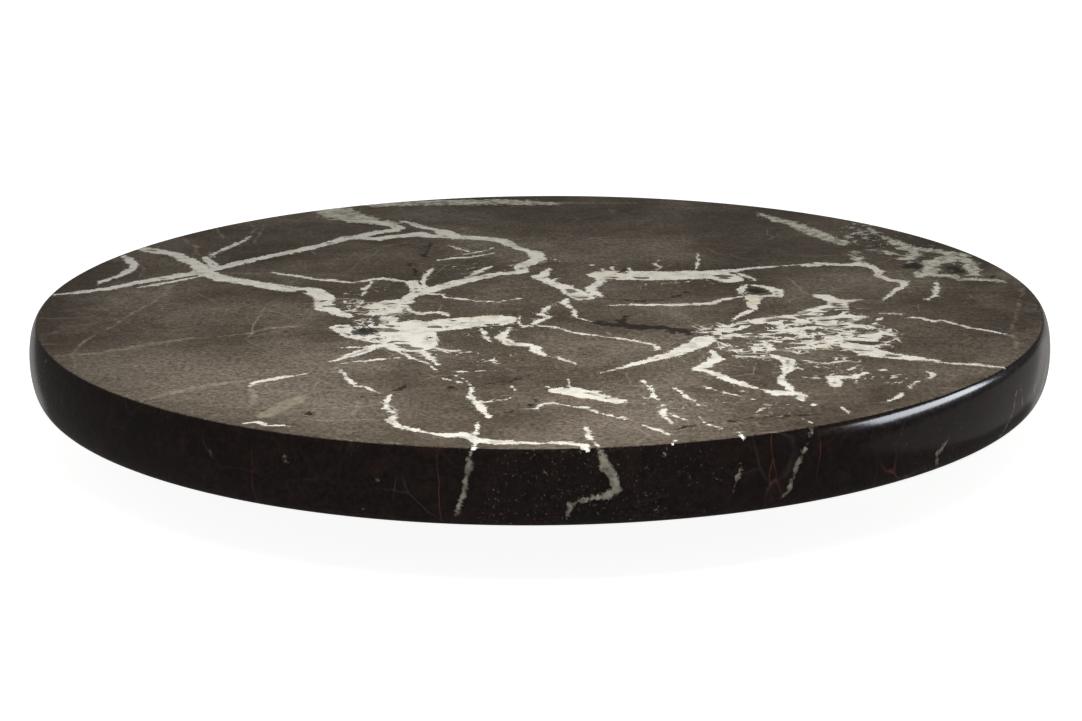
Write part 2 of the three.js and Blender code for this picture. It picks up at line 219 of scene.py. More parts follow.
WHITE_VEINS = (
    ((3, 4, 5), (-146, 9), (-140, 12), (-130, 17), (-125, 22.5), (-118, 28), (-110, 34), (-104, 38)),
    ((2.5, 2.5), (-122, 17), (-117, 21), (-110, 27.5), (-104, 32)),
    ((6, 5, 5), (-104, 36), (-108, 46.5), (-113, 55), (-117, 61), (-122.5, 65), (-130, 70)),
    ((3.5, 3, 2), (-133, 60), (-131, 55), (-128, 46), (-129, 37.5), (-131, 31), (-134.6, 25),
     (-135.4, 21)),
    ((4, 3), (-102, 40), (-103, 47.5), (-106, 54), (-107, 57.5)),
    ((2, 2), (-105, 56), (-104, 64), (-100, 73), (-96, 81), (-95, 86)),
    ((5, 4, 4.5, 4.5, 5), (-104, 38), (-97, 46), (-92, 52), (-85, 59), (-79, 64), (-75, 68),
     (-69, 75), (-64, 82.5), (-58, 86), (-52.5, 91.5), (-48, 93.5)),
    ((4, 4, 3), (-48, 93.5), (-46.5, 98), (-50, 102.5), (-56, 108), (-63, 109)),
    ((2, 3, 4), (-47, 109), (-43, 105), (-41, 101), (-37.5, 97), (-33, 92)),
    ((5, 6, 6, 5), (-33, 92), (-30, 87), (-27.5, 83), (-22.5, 82), (-17, 80), (-13, 78)),
    ((4, 5, 6, 5), (-60, 83), (-52.5, 81), (-49, 84), (-43, 86), (-40, 88), (-36, 85), (-30, 84)),
    ((5, 3, 3), (-13, 78), (-9, 70), (-5, 64), (-1.5, 60)),
    ((5, 5, 4), (-1.5, 60), (-1, 56), (0, 51), (-3, 46), (-6, 40), (-5, 34)),
    ((4, 4, 5, 6), (-5, 34), (-9, 33), (-13, 31), (-18, 27.5), (-23, 23), (-28, 17), (-36, 8)),
    ((1, 1), (2.5, 54), (6, 47.5)),
    ((3, 2), (-22, 27.5), (-18, 36), (-15, 41)),
    ((1.2, 1.2), (-22, 37.5), (-17.5, 42.5)),
    ((3, 1.6, 1.6), (-35, 10), (-35.4, 22.5), (-34.6, 32), (-33, 40)),
    ((1.5, 1.5), (-29, 71), (-26, 67), (-22.5, 62)),
    ((2, 2, 1), (-32, 50), (-28, 53), (-22, 54), (-18, 57), (-14, 61)),
    ((1, 1), (-24, 58), (-21, 60), (-16, 65), (-15, 68)),
    # the left hub's branch down to the middle
    ((6, 6, 6, 5), (-104, 36), (-97, 27.5), (-92, 24), (-85, 20), (-79, 16), (-73, 13.5),
     (-69, 12.5)),
    ((7, 6, 6, 5, 4), (-69, 12.5), (-66, 7.5), (-64, 2.5), (-64, -3), (-63, -10), (-60, -14),
     (-56, -19)),
    ((2, 2.4), (-82, 35.4), (-77.5, 31.7), (-70, 26.7), (-63, 24), (-57, 21.7)),
    ((2.4, 2.4), (-57, 21.7), (-52.5, 24), (-48, 26.7), (-44, 24), (-39, 22.5)),
    ((4, 4), (-39, 22.5), (-38, 17), (-37, 8)),
    ((1.8, 1.5), (-51, 23), (-52, 17.5), (-53, 12.5), (-53, 5)),
    ((2.5, 2.5), (-57, -3.3), (-49, -3.3)),
    ((3, 2.5), (-37, 8), (-33, 7), (-29, 6.7)),
    ((1.6, 1.3, 0.8), (-29, 6), (-28, 2.5), (-23, 0), (-19, -2.5), (-13, -3.3), (-5, 1)),
    ((4, 4), (-37, 8), (-39, 3), (-40, -3)),
    ((6, 7, 4, 3), (-40, -2), (-44, -4), (-51, -10), (-57.5, -13)),
    ((3, 2, 2), (-40, -8), (-38, -13), (-35, -17), (-30, -15), (-27.5, -16), (-26, -20)),
    ((5, 4.5, 4.5), (-41, -8), (-44, -16), (-44.6, -21), (-44, -27)),
    # the big white mass left of the middle
    ((5, 7, 7), (-44, -22), (-43, -36), (-41, -50)),
    ((12, 15, 15), (-36, -30), (-37, -42), (-36, -51)),
    ((12, 13, 11), (-34, -33), (-24, -28), (-12, -25)),
    ((6, 7, 7), (-57, -32), (-52, -41), (-44, -46)),
    ((1.8, 1.6), (-54, -31), (-50, -32.5), (-44, -34)),
    ((4, 3.5, 2), (-45, -52), (-52.5, -62.5), (-57, -68)),
    ((3, 1.5), (-44, -53), (-50, -53), (-55, -53.7)),
    ((1.6, 1), (-39, -50), (-38, -59), (-35, -65), (-30, -71), (-27, -79)),
    ((4, 2, 1.5), (-36, -50), (-32, -60), (-29, -67), (-27.5, -72.5)),
    ((3.5, 2, 1), (-33, -51), (-26, -57.5), (-20, -58)),
    ((1.6, 1.8, 1.6), (-54, -70), (-47.5, -67.5), (-44, -65.4), (-38, -64.6)),
    ((1.5, 1.5), (-16.7, -33), (-15, -44), (-14, -49)),
    ((3, 3.5, 3.5, 2), (-9, -33), (-11, -44), (-8.3, -51), (-2.5, -52.5), (-0.8, -55),
     (-0.4, -60), (1.7, -64)),
    ((1.5, 1), (1.7, -64), (5.4, -66), (7.5, -69), (10.4, -73)),
    ((1.2, 1.2), (-5.8, -20), (-6.3, -30), (-5, -32.5), (-1.7, -30)),
    ((2, 2), (4, -7.5), (1.7, -12), (0, -18), (2.5, -22), (-0.8, -27), (-3, -32)),
    ((1.5, 1.4), (-2, -30), (1, -32), (5, -34), (9, -39), (18, -44), (27, -49), (31.7, -53),
     (33, -57), (32, -59)),
    # the middle
    ((2, 5), (3.3, 38), (1.3, 30), (0, 27.5)),
    ((4, 4, 6, 8), (0, 27.5), (3.3, 19), (7.5, 14), (10, 8), (13, 2)),
    ((1.5, 1.5), (5.8, 26), (3, 22)),
    ((2.5, 2.5), (15.5, 43), (17, 42)),
    ((2.5, 1.5, 1.5), (9, 0), (7.9, -3), (7.5, -8), (10.4, -13), (10, -19), (10.8, -23),
     (15, -27.5)),
    ((4, 3, 3), (17.5, 3), (15, 12.5), (18, 18), (19, 27), (20, 37)),
    ((12, 12, 11, 9), (21, 29), (30, 28.3), (40, 27.5), (48, 28.3), (55, 28), (58, 22.5)),
    ((2.5, 2), (23.5, 29), (23, 39)),
    ((2.8, 2), (28.3, 30), (28.3, 38)),
    ((1.3, 0.7), (48.3, 32.5), (49.6, 40), (50.4, 47), (51, 58)),
    ((1, 1), (37.5, 48), (35.8, 43), (38, 38), (35.8, 33)),
    ((4, 2.2, 2.2), (50, 31), (62, 34), (67, 36.7), (74, 38.3), (82.5, 41)),
    ((4, 4), (84, 40), (88, 40)),
    ((4, 4, 3, 3, 2.5, 1.5), (88, 42), (95, 40), (101, 41), (104, 36), (105.4, 31), (104, 26),
     (107.5, 20), (111, 17), (110, 11), (106.7, 6), (104, 0), (101, -6)),
    ((2.5, 1.6), (60, 33), (63.3, 26), (65.8, 20)),
    ((3, 3), (63, 15), (61, 8), (61, 3)),
    ((3, 4, 4), (64, 14), (68, 12.5), (71.7, 7.5), (71, 2)),
    ((2.5, 2.5), (61, 1), (70, 1)),
    ((5, 4, 3), (64, 0), (63, -9), (63, -16)),
    ((3, 2), (63, -14), (59, -20), (56, -26)),
    ((1.2, 2.5, 2.5, 3.5), (20, -9), (28, -8.3), (37, -8.8), (45, -8.3), (51, -7), (55, -3),
     (60, 0)),
    # the broken mass right of the middle
    ((6, 7, 6, 6), (53, -38), (62, -30), (74, -24), (84, -14)),
    ((4, 5, 4, 3), (53, -42), (62, -42), (72, -38), (82, -33)),
    ((4, 4), (72, -38), (76, -52)),
    ((5, 5, 3), (84, 0), (88, -6), (95, -4)),
    ((7, 7, 6), (88, -6), (87, -14), (84, -22), (82.5, -28), (81.7, -35)),
    ((1.6, 1.6), (95, -22.5), (91, -27.5), (87, -32)),
    ((2, 2), (99, -20), (105, -21)),
    ((2.5, 2.5), (99, -25), (95, -34), (92.5, -39)),
    ((3, 3), (82.5, -37.5), (90, -42)),
    ((6, 7, 8, 8), (95, -42.5), (91, -49), (87.5, -56), (90, -62)),
    ((8, 6, 4, 2.5), (90, -62), (94, -65), (99, -68), (103, -70), (107.5, -72)),
    ((1, 2, 1), (107, -73), (110, -74.6), (117, -76), (122, -78), (125, -79)),
    ((7, 6, 4, 2, 1), (46.7, -48), (42.5, -55), (37.5, -62), (32, -67), (26, -72.5), (21, -77),
     (16, -81)),
    ((3, 4, 4), (47.5, -60), (49, -68), (45, -75), (42.5, -78)),
    ((4, 3, 3, 2.5), (42.5, -78), (46, -82.5), (49, -87), (53, -93), (57, -97.5)),
    ((2.5, 5, 3, 2), (57, -97.5), (62, -102), (67.5, -103), (67, -109)),
    ((2, 2), (53, -65), (60, -67), (62.5, -64)),
    ((3, 4, 4, 3), (63, -64), (67.5, -70), (67, -78), (65.4, -84)),
    ((3, 2.5, 2), (65.4, -84), (64, -90), (65, -97), (66, -102)),
    ((1.5, 1.5), (73, -72), (78, -73), (82.5, -71)),
    ((2, 2), (82, -81), (85, -77)),
    ((2.5, 2.5), (91.5, -80), (92.5, -80)),
    ((4, 4, 2.5), (77.5, -94), (77.5, -87.5), (82.5, -87), (87, -83)),
    ((2, 2), (70, -87), (74, -88)),
    ((2.5, 2), (103, -82), (104, -85), (103, -90)),
    ((2.2, 2.5), (99, -92), (96.7, -98)),
    ((2, 1.5), (94, -103), (91.7, -107.5), (89, -110)),
    ((1.5, 1.5), (76.7, -115), (78, -120)),
    ((1, 1), (65.8, -124), (68, -128)),
    ((2.4, 2.4), (70, -112), (70, -113)),
    ((1.5, 1.3, 1), (105, -26), (107, -25), (110, -26), (112.5, -30), (115, -28), (122, -37),
     (127, -41), (132.5, -46)),
    ((2, 2), (121, 18), (120, 10), (119, 3), (115.4, -4.6)),
    # the front
    ((6, 7, 7), (5, -97.5), (8, -99), (12, -102)),
    ((6, 5, 4), (12, -102), (16, -105), (20, -108)),
    ((3, 3), (12, -99), (15, -98.5)),
    ((1, 1), (1.7, -94), (4, -96)),
    ((1, 1), (7.5, -87), (8, -95)),
    ((1.3, 1.5), (-26.7, -85), (-22, -89), (-18.8, -92)),
    ((0.8, 1), (-22.5, -83), (-19, -90)),
    ((1.5, 2, 2.5, 2.5, 2), (-18.8, -92), (-18, -102), (-16, -108), (-14.6, -115), (-13, -121)),
    ((1, 2, 2, 2.2), (-15.8, -125), (-15.7, -132.5), (-15.8, -139), (-16.4, -153)),
    ((1.2, 0.9), (-14.5, -108), (-9, -106), (-7.5, -104)),
    ((1, 1.6, 2, 2), (-39, -100), (-39.4, -107), (-39.6, -113), (-36.7, -118)),
    ((2, 2.5, 3), (-36.7, -118), (-38, -123), (-36, -128), (-31, -132), (-28, -134)),
    ((3, 3.5, 4, 3), (-28, -134), (-23, -137), (-19, -135.4), (-15, -140), (-9, -142.5),
     (-1, -144)),
    ((3, 3, 2.5, 2.2), (-1, -144), (7.5, -143.6), (11, -146), (12.6, -153)),
    ((0.9, 1.2, 1.4), (-55, -74), (-52.5, -78), (-51, -84), (-48, -92), (-46, -92.5), (-42, -98)),
    ((1.6, 2.2, 2.4), (-62, -79), (-67.5, -82.5), (-75, -87), (-77, -91)),
    ((1.2, 1.4, 1), (-75.4, -125), (-71, -124), (-69, -127), (-63, -128)),
    ((1.3, 1), (-23, -79), (-12.5, -79)),
    ((1.2, 1.2), (-8, -93), (-6.7, -97)),
    ((2, 2), (-37, -142), (-35, -142)),
    ((1, 1, 1.5), (-5, -114.6), (-1.7, -114), (0, -110), (3, -109), (7.5, -112), (12, -113),
     (15, -118), (20, -122.5)),
    ((3.2, 3), (20.5, -121.5), (22, -123)),
    ((1.2, 2), (26, -129), (29, -132.5), (32, -137)),
    ((0.9, 2), (27.5, -89), (29, -97), (30, -107)),
    ((2, 1.5), (31.7, -111), (31, -120), (33, -128)),
    ((2, 2), (33, -119), (36, -124.6)),
    ((1, 1), (33, -92.5), (36, -98), (37.5, -103), (41, -112)),
    ((1.2, 1.2), (40, -122), (41, -128), (44.6, -133)),
    ((0.9, 0.9), (43, -94), (48, -101), (55, -107.5)),
    ((2.5, 2.5), (52.5, -100), (53.5, -100.5)),
    ((1.2, 1.2), (55, -118), (57, -115)),
    ((2, 2.4), (49, -136), (50.4, -143)),
    ((1, 1.2), (33, -142), (31.7, -146)),
    ((1.3, 1.2), (11, -130), (11.7, -137.5), (14, -146)),
)

GREEN_VEINS = (
    ((14, 13, 10), (-71, 126), (-67, 117), (-58, 110)),
    ((8, 6), (-60, 111), (-50, 104)),
    ((8, 9), (-58, 135), (-40, 137), (-20, 137.5)),
    ((9, 8, 5), (-20, 137), (-5, 136), (5, 135)),
    ((3, 5, 6), (75, 116), (79, 108), (84, 101), (88, 92)),
    ((6, 7, 6, 5), (88, 92), (92, 83), (96, 75), (99, 69)),
    ((2.5, 2.5), (101, 77), (103, 82), (107, 82.5)),
    ((2, 2), (106.7, 92), (107.5, 83), (106.7, 76)),
    ((1.5, 1.5), (103, 73), (103, 68)),
    ((1.2, 1.2), (106, 99), (104.6, 92.5)),
    ((2.5, 4, 5), (112, 80), (115, 72.5), (118, 62.5)),
    ((5, 4), (118, 62.5), (120, 57.5), (118, 51), (116, 47)),
    ((3, 3), (107.5, 60), (112, 56), (115, 52)),
    ((3, 3), (101, 58), (99, 52.5), (101, 48), (101, 42)),
    ((5, 5), (121, 61), (128, 57), (134, 52)),
    ((8, 6, 5), (130, 48), (122, 40), (121, 31), (118, 25)),
    ((5, 4), (131, 52), (135, 40), (134, 33), (134, 26)),
    ((5, 4, 3), (119, 26), (125, 25), (130, 20), (137, 19), (143, 15)),
    ((1.5, 1.5), (117, 43), (114, 41)),
    ((2.5, 2.5), (110, 96), (111, 81)),
)

FAINT_VEINS = (
    ((0.8, 0.8), (-126, 47.5), (-124.6, 42), (-124, 32.5)),
    ((1.2, 1), (-107, 57.5), (-110, 62.5), (-111, 71), (-114, 76), (-117, 84), (-119, 86)),
    ((1.2, 1), (-95, 86), (-95.4, 100), (-99, 107.5)),
    ((0.6, 0.6), (-93, 77.5), (-92.5, 87), (-93, 103)),
    ((0.9, 0.9), (-108, 99), (-106.7, 92), (-104, 86), (-103, 80)),
    ((5, 3), (5, 135), (34, 134)),
    ((1.4, 1), (-30, 91), (-26, 95), (-20, 101)),
    ((0.8, 0.8), (-59, 60), (-52.5, 69), (-45, 74), (-42.5, 78)),
    ((1.5, 1.5), (-9, 50), (-6.7, 49)),
    ((1.5, 1.8), (-97, 35), (-88, 34), (-82, 35)),
    ((0.8, 0.6), (16, -29), (17.5, -32.5), (19, -37), (19.6, -43)),
    ((1.2, 1), (132.5, -46), (132.5, -54), (130.4, -61), (131, -68)),
    ((0.7, 0.5), (145, 8), (144, 0), (141, -10), (139, -19), (136, -30), (134, -40)),
    ((0.9, 0.9), (111, 32), (112, 22)),
    ((2.5, 2.5), (-110, 22.5), (-112.5, 17), (-113, 8)),
    ((0.9, 0.8), (-113, 8), (-114, 1), (-117, -6), (-121, -20), (-122.5, -29), (-125, -33)),
    ((0.8, 0.8), (-125, -33), (-127, -42), (-129, -49), (-129, -59), (-127, -65), (-126, -72)),
    ((2.6, 2), (-68, -30), (-76, -31.5), (-80, -34), (-82.5, -37.5), (-88, -40)),
    ((2, 3, 2.2), (-88, -40), (-100, -43), (-108, -48), (-115, -53), (-121, -57), (-133, -60)),
    ((3, 3), (-77, -85), (-82, -87.5), (-90, -92.5), (-97, -97.5), (-102.5, -102.5)),
    ((2, 3), (-77, -91), (-75, -99), (-74, -108)),
    ((1, 1), (-88, -114), (-81, -114.6), (-83, -120)),
    ((0.8, 0.8), (-60.4, -83), (-58, -87), (-54, -92), (-50, -96)),
    ((0.8, 0.8), (-60, -92), (-57, -100)),
    ((1, 0.9), (-63, -122.5), (-53, -123), (-46, -122), (-41, -123)),
    ((0.9, 0.9), (-54, -112), (-48, -110)),
    ((0.8, 0.8), (-16, -83), (-16, -87.5)),
    ((1, 1), (-12, -72.5), (-7, -79)),
    ((5, 5), (-62.5, -103), (-70, -117.5)),
    ((1.6, 1.6), (-47, -107), (-47.5, -117)),
    ((0.7, 0.7), (47, -128), (48, -134)),
    ((0.7, 0.7), (50, -128), (51, -132)),
    ((0.7, 0.7), (54, -128), (54.6, -133)),
)

DARK_CRACKS = (
    ((3, 3), (-71.7, 11.3), (-70.7, 11.3)),
    ((7, 6), (-50, -37), (-50, -35)),
    ((2, 2), (-23, -27), (-22, -27)),
    ((1.6, 1.6), (-14, -30), (-13, -30)),
    ((1.6, 1.6), (-26.5, -32), (-26, -31)),
    ((1.8, 1.8), (-46, -45), (-45, -44.4)),
    ((1.4, 1.4), (-32, -45), (-31.6, -44)),
    ((3, 3), (25.8, 33), (25.8, 34.5)),
    ((5.6, 5.6), (65, 7.2), (65.4, 6.4)),
    ((1, 1), (16.7, 2.5), (22.5, -1.7), (30, -4.2), (37, -2), (42, 2.5), (44, 6.7)),
    ((4, 6, 5, 5), (16.7, -29), (22.5, -31), (28, -34), (35, -35), (42, -40)),
    ((4, 2), (24, -30), (24.5, -22)),
    ((5, 4), (129.6, 30), (129.6, 36)),
    ((7, 7), (116.5, 37), (117, 38)),
    ((2.5, 2), (139, 22), (139, 24)),
    ((0.8, 0.7), (-2.5, -82.5), (-7, -87), (-11, -90), (-17, -92), (-22, -95), (-26, -94)),
    ((0.8, 0.7), (-35, -90), (-37, -96), (-41, -99), (-47, -103)),
    ((0.8, 0.7), (-0.4, -105), (-3, -113), (-9, -119)),
    ((0.8, 0.8), (-59, -114), (-60, -119)),
    ((0.7, 0.7), (33, -134), (36, -131), (42, -128), (48, -127), (52.5, -124), (62, -122.5),
     (70, -121)),
    ((1.4, 1.4), (-41, 45), (-39, 38), (-38, 30)),
    ((1.4, 1.2), (-37, 55), (-36, 65), (-35, 75)),
)

# Where the rock is shattered and calcite has filled the gaps between the pieces.
DENSE_RUBBLE = (
    ((20, 22, 18), (53, -40), (70, -34), (88, -20)),
    ((22, 20), (60, -52), (90, -50)),
    ((10, 14), (80, -30), (96, -38)),
    ((14, 12), (-58, -6), (-44, -14)),
    ((8, 10), (-50, -26), (-46, -34)),
)
SPARSE_RUBBLE = (
    ((12, 14), (-27, -60), (-13, -67)),
    ((8, 8, 10), (-16, -38), (-8, -30), (0, -14)),
    ((20, 18), (45, -68), (80, -74)),
    ((14, 12), (78, -86), (96, -90)),
    ((16, 16, 14), (104, 92), (116, 66), (130, 38)),
    ((8, 8), (24, 21), (56, 20)),
    ((10, 12), (30, -108), (62, -116)),
    ((10, 12), (-4, 44), (-28, 36)),
    ((8, 8), (-52, 12), (-60, 2)),
)

# Where the ground is paler and warmer, at the front left: partly paler stone and partly painted
# sheen, the glare of the light on the honed face drawn into its colour.
PALE_AND_SHEEN_PATCHES = (((44, 56, 40), (-112, -72), (-78, -92), (-52, -112)),)
# Where it is darker, near the left and right rims: painted shade, where the light falls off.
SHADE_PATCHES = (
    ((44, 54, 40), (-150, 44), (-148, 4), (-136, -44)),
    ((44, 54, 40), (150, 60), (150, 14), (138, -40)),
)

# Veins on the edge, as degrees round from +X and millimetres up from the underside.
EDGE_VEINS = (
    ((1.5, 1.5, 1.3, 1.3), (-96.3, 24), (-97, 13), (-97.5, 8), (-98, 0)),
    ((0.8, 0.8), (-92.5, 17), (-91.5, 0)),
    ((2, 2.2, 2.2), (-85.2, 24), (-83.5, 14), (-83, 10), (-84.5, 8)),
    ((2, 1.4, 1.2), (-84.5, 8), (-87, 6), (-88, 0)),
    ((1.5, 1.5), (-79, 4), (-78.5, 0)),
    ((0.6, 0.6), (-78, 19), (-80, 12)),
    ((1, 0.8, 0.8), (-70.5, 20), (-71, 12), (-71.5, 7)),
    ((0.9, 0.9), (-62.5, 20), (-64.5, 14), (-65.5, 8), (-66.5, 2)),
    ((0.7, 0.6), (-123, 20), (-124, 9)),
    ((0.7, 0.6), (-115.5, 20), (-115, 12)),
    ((0.5, 0.5), (-105, 14), (-107, 3)),
    ((0.9, 0.8), (-30.5, 14), (-31.5, 8), (-33, 4), (-34.5, 0)),
    ((0.8, 0.7), (-29.5, 13), (-28.5, 7)),
    ((0.8, 0.8), (-25, 10), (-24, 7)),
    ((0.9, 0.7), (-156.5, 18), (-156, 5)),
    ((1.2, 2.2, 1.6), (-14, 18), (-17.5, 13), (-20.5, 7), (-22, 2)),
    ((1, 1.3), (-21.5, 15), (-24.5, 9)),
    ((1.4, 1), (-9, 16), (-12, 8)),
    ((1.2, 1.6, 1), (-45, 8), (-46.5, 5), (-46, 1)),
)


def segment_group():
    """A node group that keeps the smaller of two distances: one handed in, and one from a point
    to the side of a tapering straight piece of vein."""
    group = bpy.data.node_groups.new("vein segment", "ShaderNodeTree")
    ports = group.interface
    for name in ("Point", "Start", "Run", "Run over its length squared"):
        ports.new_socket(name, in_out="INPUT", socket_type="NodeSocketVector")
    for name in ("Half width", "Narrowing", "Nearest"):
        ports.new_socket(name, in_out="INPUT", socket_type="NodeSocketFloat")
    ports.new_socket("Nearest", in_out="OUTPUT", socket_type="NodeSocketFloat")
    point, start, run, ruler, half, narrowing, nearest = group.nodes.new("NodeGroupInput").outputs[:7]
    offset = add(group, "VectorMath", [point, start], operation="SUBTRACT")
    along = add(group, "VectorMath", [offset, ruler], out=1, operation="DOT_PRODUCT")
    share = add(group, "Clamp", [along])
    foot = add(group, "VectorMath", {0: run, 3: share}, operation="SCALE")
    gap = add(group, "VectorMath", [offset, foot], out=1, operation="DISTANCE")
    gap = add(group, "Math", [share, narrowing, gap], operation="MULTIPLY_ADD")
    gap = add(group, "Math", [gap, half], operation="SUBTRACT")
    gap = add(group, "Math", [gap, nearest], operation="MINIMUM")
    group.links.new(gap, group.nodes.new("NodeGroupOutput").inputs[0])
    return group


def rim_point(degrees, height):
    """A point on the rounded edge, in millimetres."""
    bulge = bpy.context.scene.susan_sizes.edge_bulge / MM
    half = (SLAB_TOP - SLAB_BOTTOM) / MM / 2
    sag = math.sqrt(max(0.0, 1 - ((height - half) / half) ** 2))
    radius = SLAB_RADIUS / MM - bulge + bulge * sag
    angle = math.radians(degrees)
    return Vector((radius * math.cos(angle), radius * math.sin(angle), SLAB_BOTTOM / MM + height))


def flat_point(x, y):
    """A point of the plan, which the veins of the top follow."""
    return Vector((x, y, 0))


def width_at(widths, share):
    """The width at a share of the way along a vein, from widths spread evenly along it."""
    spot = share * (len(widths) - 1)
    index = min(int(spot), len(widths) - 2)
    return widths[index] + (widths[index + 1] - widths[index]) * (spot - index)


def vein_group(name, veins, place, segment, taper=True):
    """A node group that gives the distance in millimetres from a point to the nearest vein,
    negative inside it."""
    group = bpy.data.node_groups.new(name, "ShaderNodeTree")
    group.interface.new_socket("Point", in_out="INPUT", socket_type="NodeSocketVector")
    group.interface.new_socket("Distance", in_out="OUTPUT", socket_type="NodeSocketFloat")
    point = group.nodes.new("NodeGroupInput").outputs[0]
    nearest = FAR
    for widths, *points in veins:
        places = [place(*p) for p in points]
        halves = [width_at(widths, i / (len(places) - 1)) / 2 for i in range(len(places))]
        for end in (0, -1):  # a narrow vein dies out to a point
            if taper and halves[end] < TAPERED_BELOW / 2:
                halves[end] *= 0.4
        for i, (start, end) in enumerate(zip(places, places[1:])):
            run = end - start
            half, end_half = halves[i], halves[i + 1]
            ruler = run / run.length_squared
            inputs = [point, start, run, ruler, half, half - end_half, nearest]
            nearest = add(group, "Group", inputs, node_tree=segment)
    group.links.new(nearest, group.nodes.new("NodeGroupOutput").inputs[0])
    return group


def vein_strength(tree, distance, ragged, softness):
    """1 inside a vein and 0 outside, with an edge that follows a ragged offset."""
    edge = add(tree, "Math", [distance, ragged], operation="ADD")
    return add(tree, "MapRange", [edge, softness, -softness, 0, 1], interpolation_type="SMOOTHSTEP")


def polished_marble():
    """Dark brown-grey limestone marble, shattered and healed with white calcite. The top is honed
    to a soft sheen, which shows it paler; the rounded edge is polished to a gloss and coloured near
    black, partly its own polished tone and partly painted shade, as the edge faces away from the light."""
    tints = bpy.context.scene.susan_colours
    material, tree = blank_material("Honed and polished dark marble")
    place = in_mm(tree)

    # Bend the veins, so that no straight piece looks drawn: waves of 16 mm, 5 mm and 1.5 mm.
    bent = place
    for period, reach in ((16, 2.4), (5, 1.0), (1.6, 0.4)):
        wave = add(tree, "TexNoise", {0: place, 2: 1 / period, 3: 1.5}, out=1)
        wave = add(tree, "VectorMath", [wave, (0.5, 0.5, 0.5)], operation="SUBTRACT")
        wave = add(tree, "VectorMath", {0: wave, 3: reach}, operation="SCALE")
        bent = add(tree, "VectorMath", [bent, wave], operation="ADD")
    plan = add(tree, "VectorMath", [bent, (1, 1, 0)], operation="MULTIPLY")
    height = add(tree, "SeparateXYZ", [place], out=2)
    depth = add(tree, "Math", [SLAB_TOP / MM - 0.4, height], operation="SUBTRACT")
    depth = add(tree, "Math", [depth, 0], operation="MAXIMUM")
    fade = add(tree, "Math", [depth, 1.2], operation="MULTIPLY")

    # Flaking along the edges of a vein, from 3.5 mm down to 0.4 mm.
    ragged = add(tree, "TexNoise", {0: place, 2: 1 / 3.5, 3: 4, 4: 0.8})
    ragged = add(tree, "MapRange", [ragged, 0.3, 0.7, -1.0, 1.3], clamp=False)

    segment = segment_group()
    shapes = {}
    for name, veins, where, point in (
        ("white veins", WHITE_VEINS, flat_point, plan),
        ("green-grey veins", GREEN_VEINS, flat_point, plan),
        ("faint veins", FAINT_VEINS, flat_point, plan),
        ("dark cracks", DARK_CRACKS, flat_point, plan),
        ("dense rubble", DENSE_RUBBLE, flat_point, plan),
        ("sparse rubble", SPARSE_RUBBLE, flat_point, plan),
        ("pale and painted sheen patches", PALE_AND_SHEEN_PATCHES, flat_point, plan),
        ("painted shade patches", SHADE_PATCHES, flat_point, plan),
        ("edge veins", EDGE_VEINS, rim_point, bent),
    ):
        group = vein_group(name, veins, where, segment, taper="veins" in name)
        shapes[name] = add(tree, "Group", [point], node_tree=group)

    white_gap = add(tree, "Math", [shapes["white veins"], fade], operation="ADD")
    white = vein_strength(tree, white_gap, ragged, 0.28)
    green_gap = add(tree, "Math", [shapes["green-grey veins"], fade], operation="ADD")
    frayed = add(tree, "Math", [ragged, 2.2], operation="MULTIPLY")
    green = vein_strength(tree, green_gap, frayed, 0.8)
    faint_gap = add(tree, "Math", [shapes["faint veins"], fade], operation="ADD")
    faint = vein_strength(tree, faint_gap, ragged, 0.6)
    dark = vein_strength(tree, shapes["dark cracks"], frayed, 0.4)
    edge_vein = vein_strength(tree, shapes["edge veins"], ragged, 0.45)

    # Round the sides and the back, the veins of the top run straight down the edge.
    run_down = vein_strength(tree, shapes["white veins"], ragged, 0.45)
    wide = vein_strength(tree, shapes["green-grey veins"], frayed, 0.8)
    run_down = add(tree, "Math", [run_down, wide], operation="MAXIMUM")
    beyond = add(tree, "SeparateXYZ", [place], out=1)
    beyond = add(tree, "MapRange", [beyond, -95, -75, 0, 1])
    run_down = add(tree, "Math", [run_down, beyond], operation="MULTIPLY")
    edge_vein = add(tree, "Math", [edge_vein, run_down], operation="MAXIMUM")

    # Rubble: angular pieces of 8 mm and 2.8 mm with calcite between, thickest where most broken,
    # and loose flakes of calcite where the rock is only cracked.
    deep = add(tree, "Math", [shapes["dense rubble"], fade], operation="ADD")
    dense = add(tree, "MapRange", [deep, 3, -5, 0, 1])
    deep = add(tree, "Math", [shapes["sparse rubble"], fade], operation="ADD")
    sparse = add(tree, "MapRange", [deep, 3, -5, 0, 1])
    flake = add(tree, "TexNoise", {0: bent, 2: 1 / 3.6, 3: 3, 4: 0.7, 8: 1.2})
    flake = add(tree, "MapRange", [flake, 0.61, 0.65, 0, 1])
    flake = add(tree, "Math", [flake, sparse], operation="MULTIPLY")
    top = add(tree, "MapRange", [height, SLAB_TOP / MM - 0.3, SLAB_TOP / MM - 0.05, 0, 1])
    halo = add(tree, "MapRange", [white_gap, 3, 0, 0, 0.17])
    halo = add(tree, "Math", [halo, top], operation="MULTIPLY")
    broken = add(tree, "Math", [dense, halo], operation="MAXIMUM")
    uneven = add(tree, "TexNoise", {0: place, 2: 1 / 7, 3: 2})
    uneven = add(tree, "MapRange", [uneven, 0.35, 0.65, 0, 1.6])
    broken = add(tree, "Math", [broken, uneven], operation="MULTIPLY")
    rubble = add(tree, "Math", [white, flake], operation="MAXIMUM")
    for size, width in ((8, 1.0), (2.8, 0.55)):
        gap = add(tree, "TexVoronoi", {0: bent, 2: 1 / size}, feature="DISTANCE_TO_EDGE")
        gap = add(tree, "Math", [gap, size], operation="MULTIPLY")
        reach = add(tree, "Math", [broken, width], operation="MULTIPLY")
        gap = add(tree, "Math", [gap, reach], operation="SUBTRACT")
        line = add(tree, "MapRange", [gap, -0.03, -0.3, 0, 1], interpolation_type="SMOOTHSTEP")
        rubble = add(tree, "Math", [rubble, line], operation="MAXIMUM")

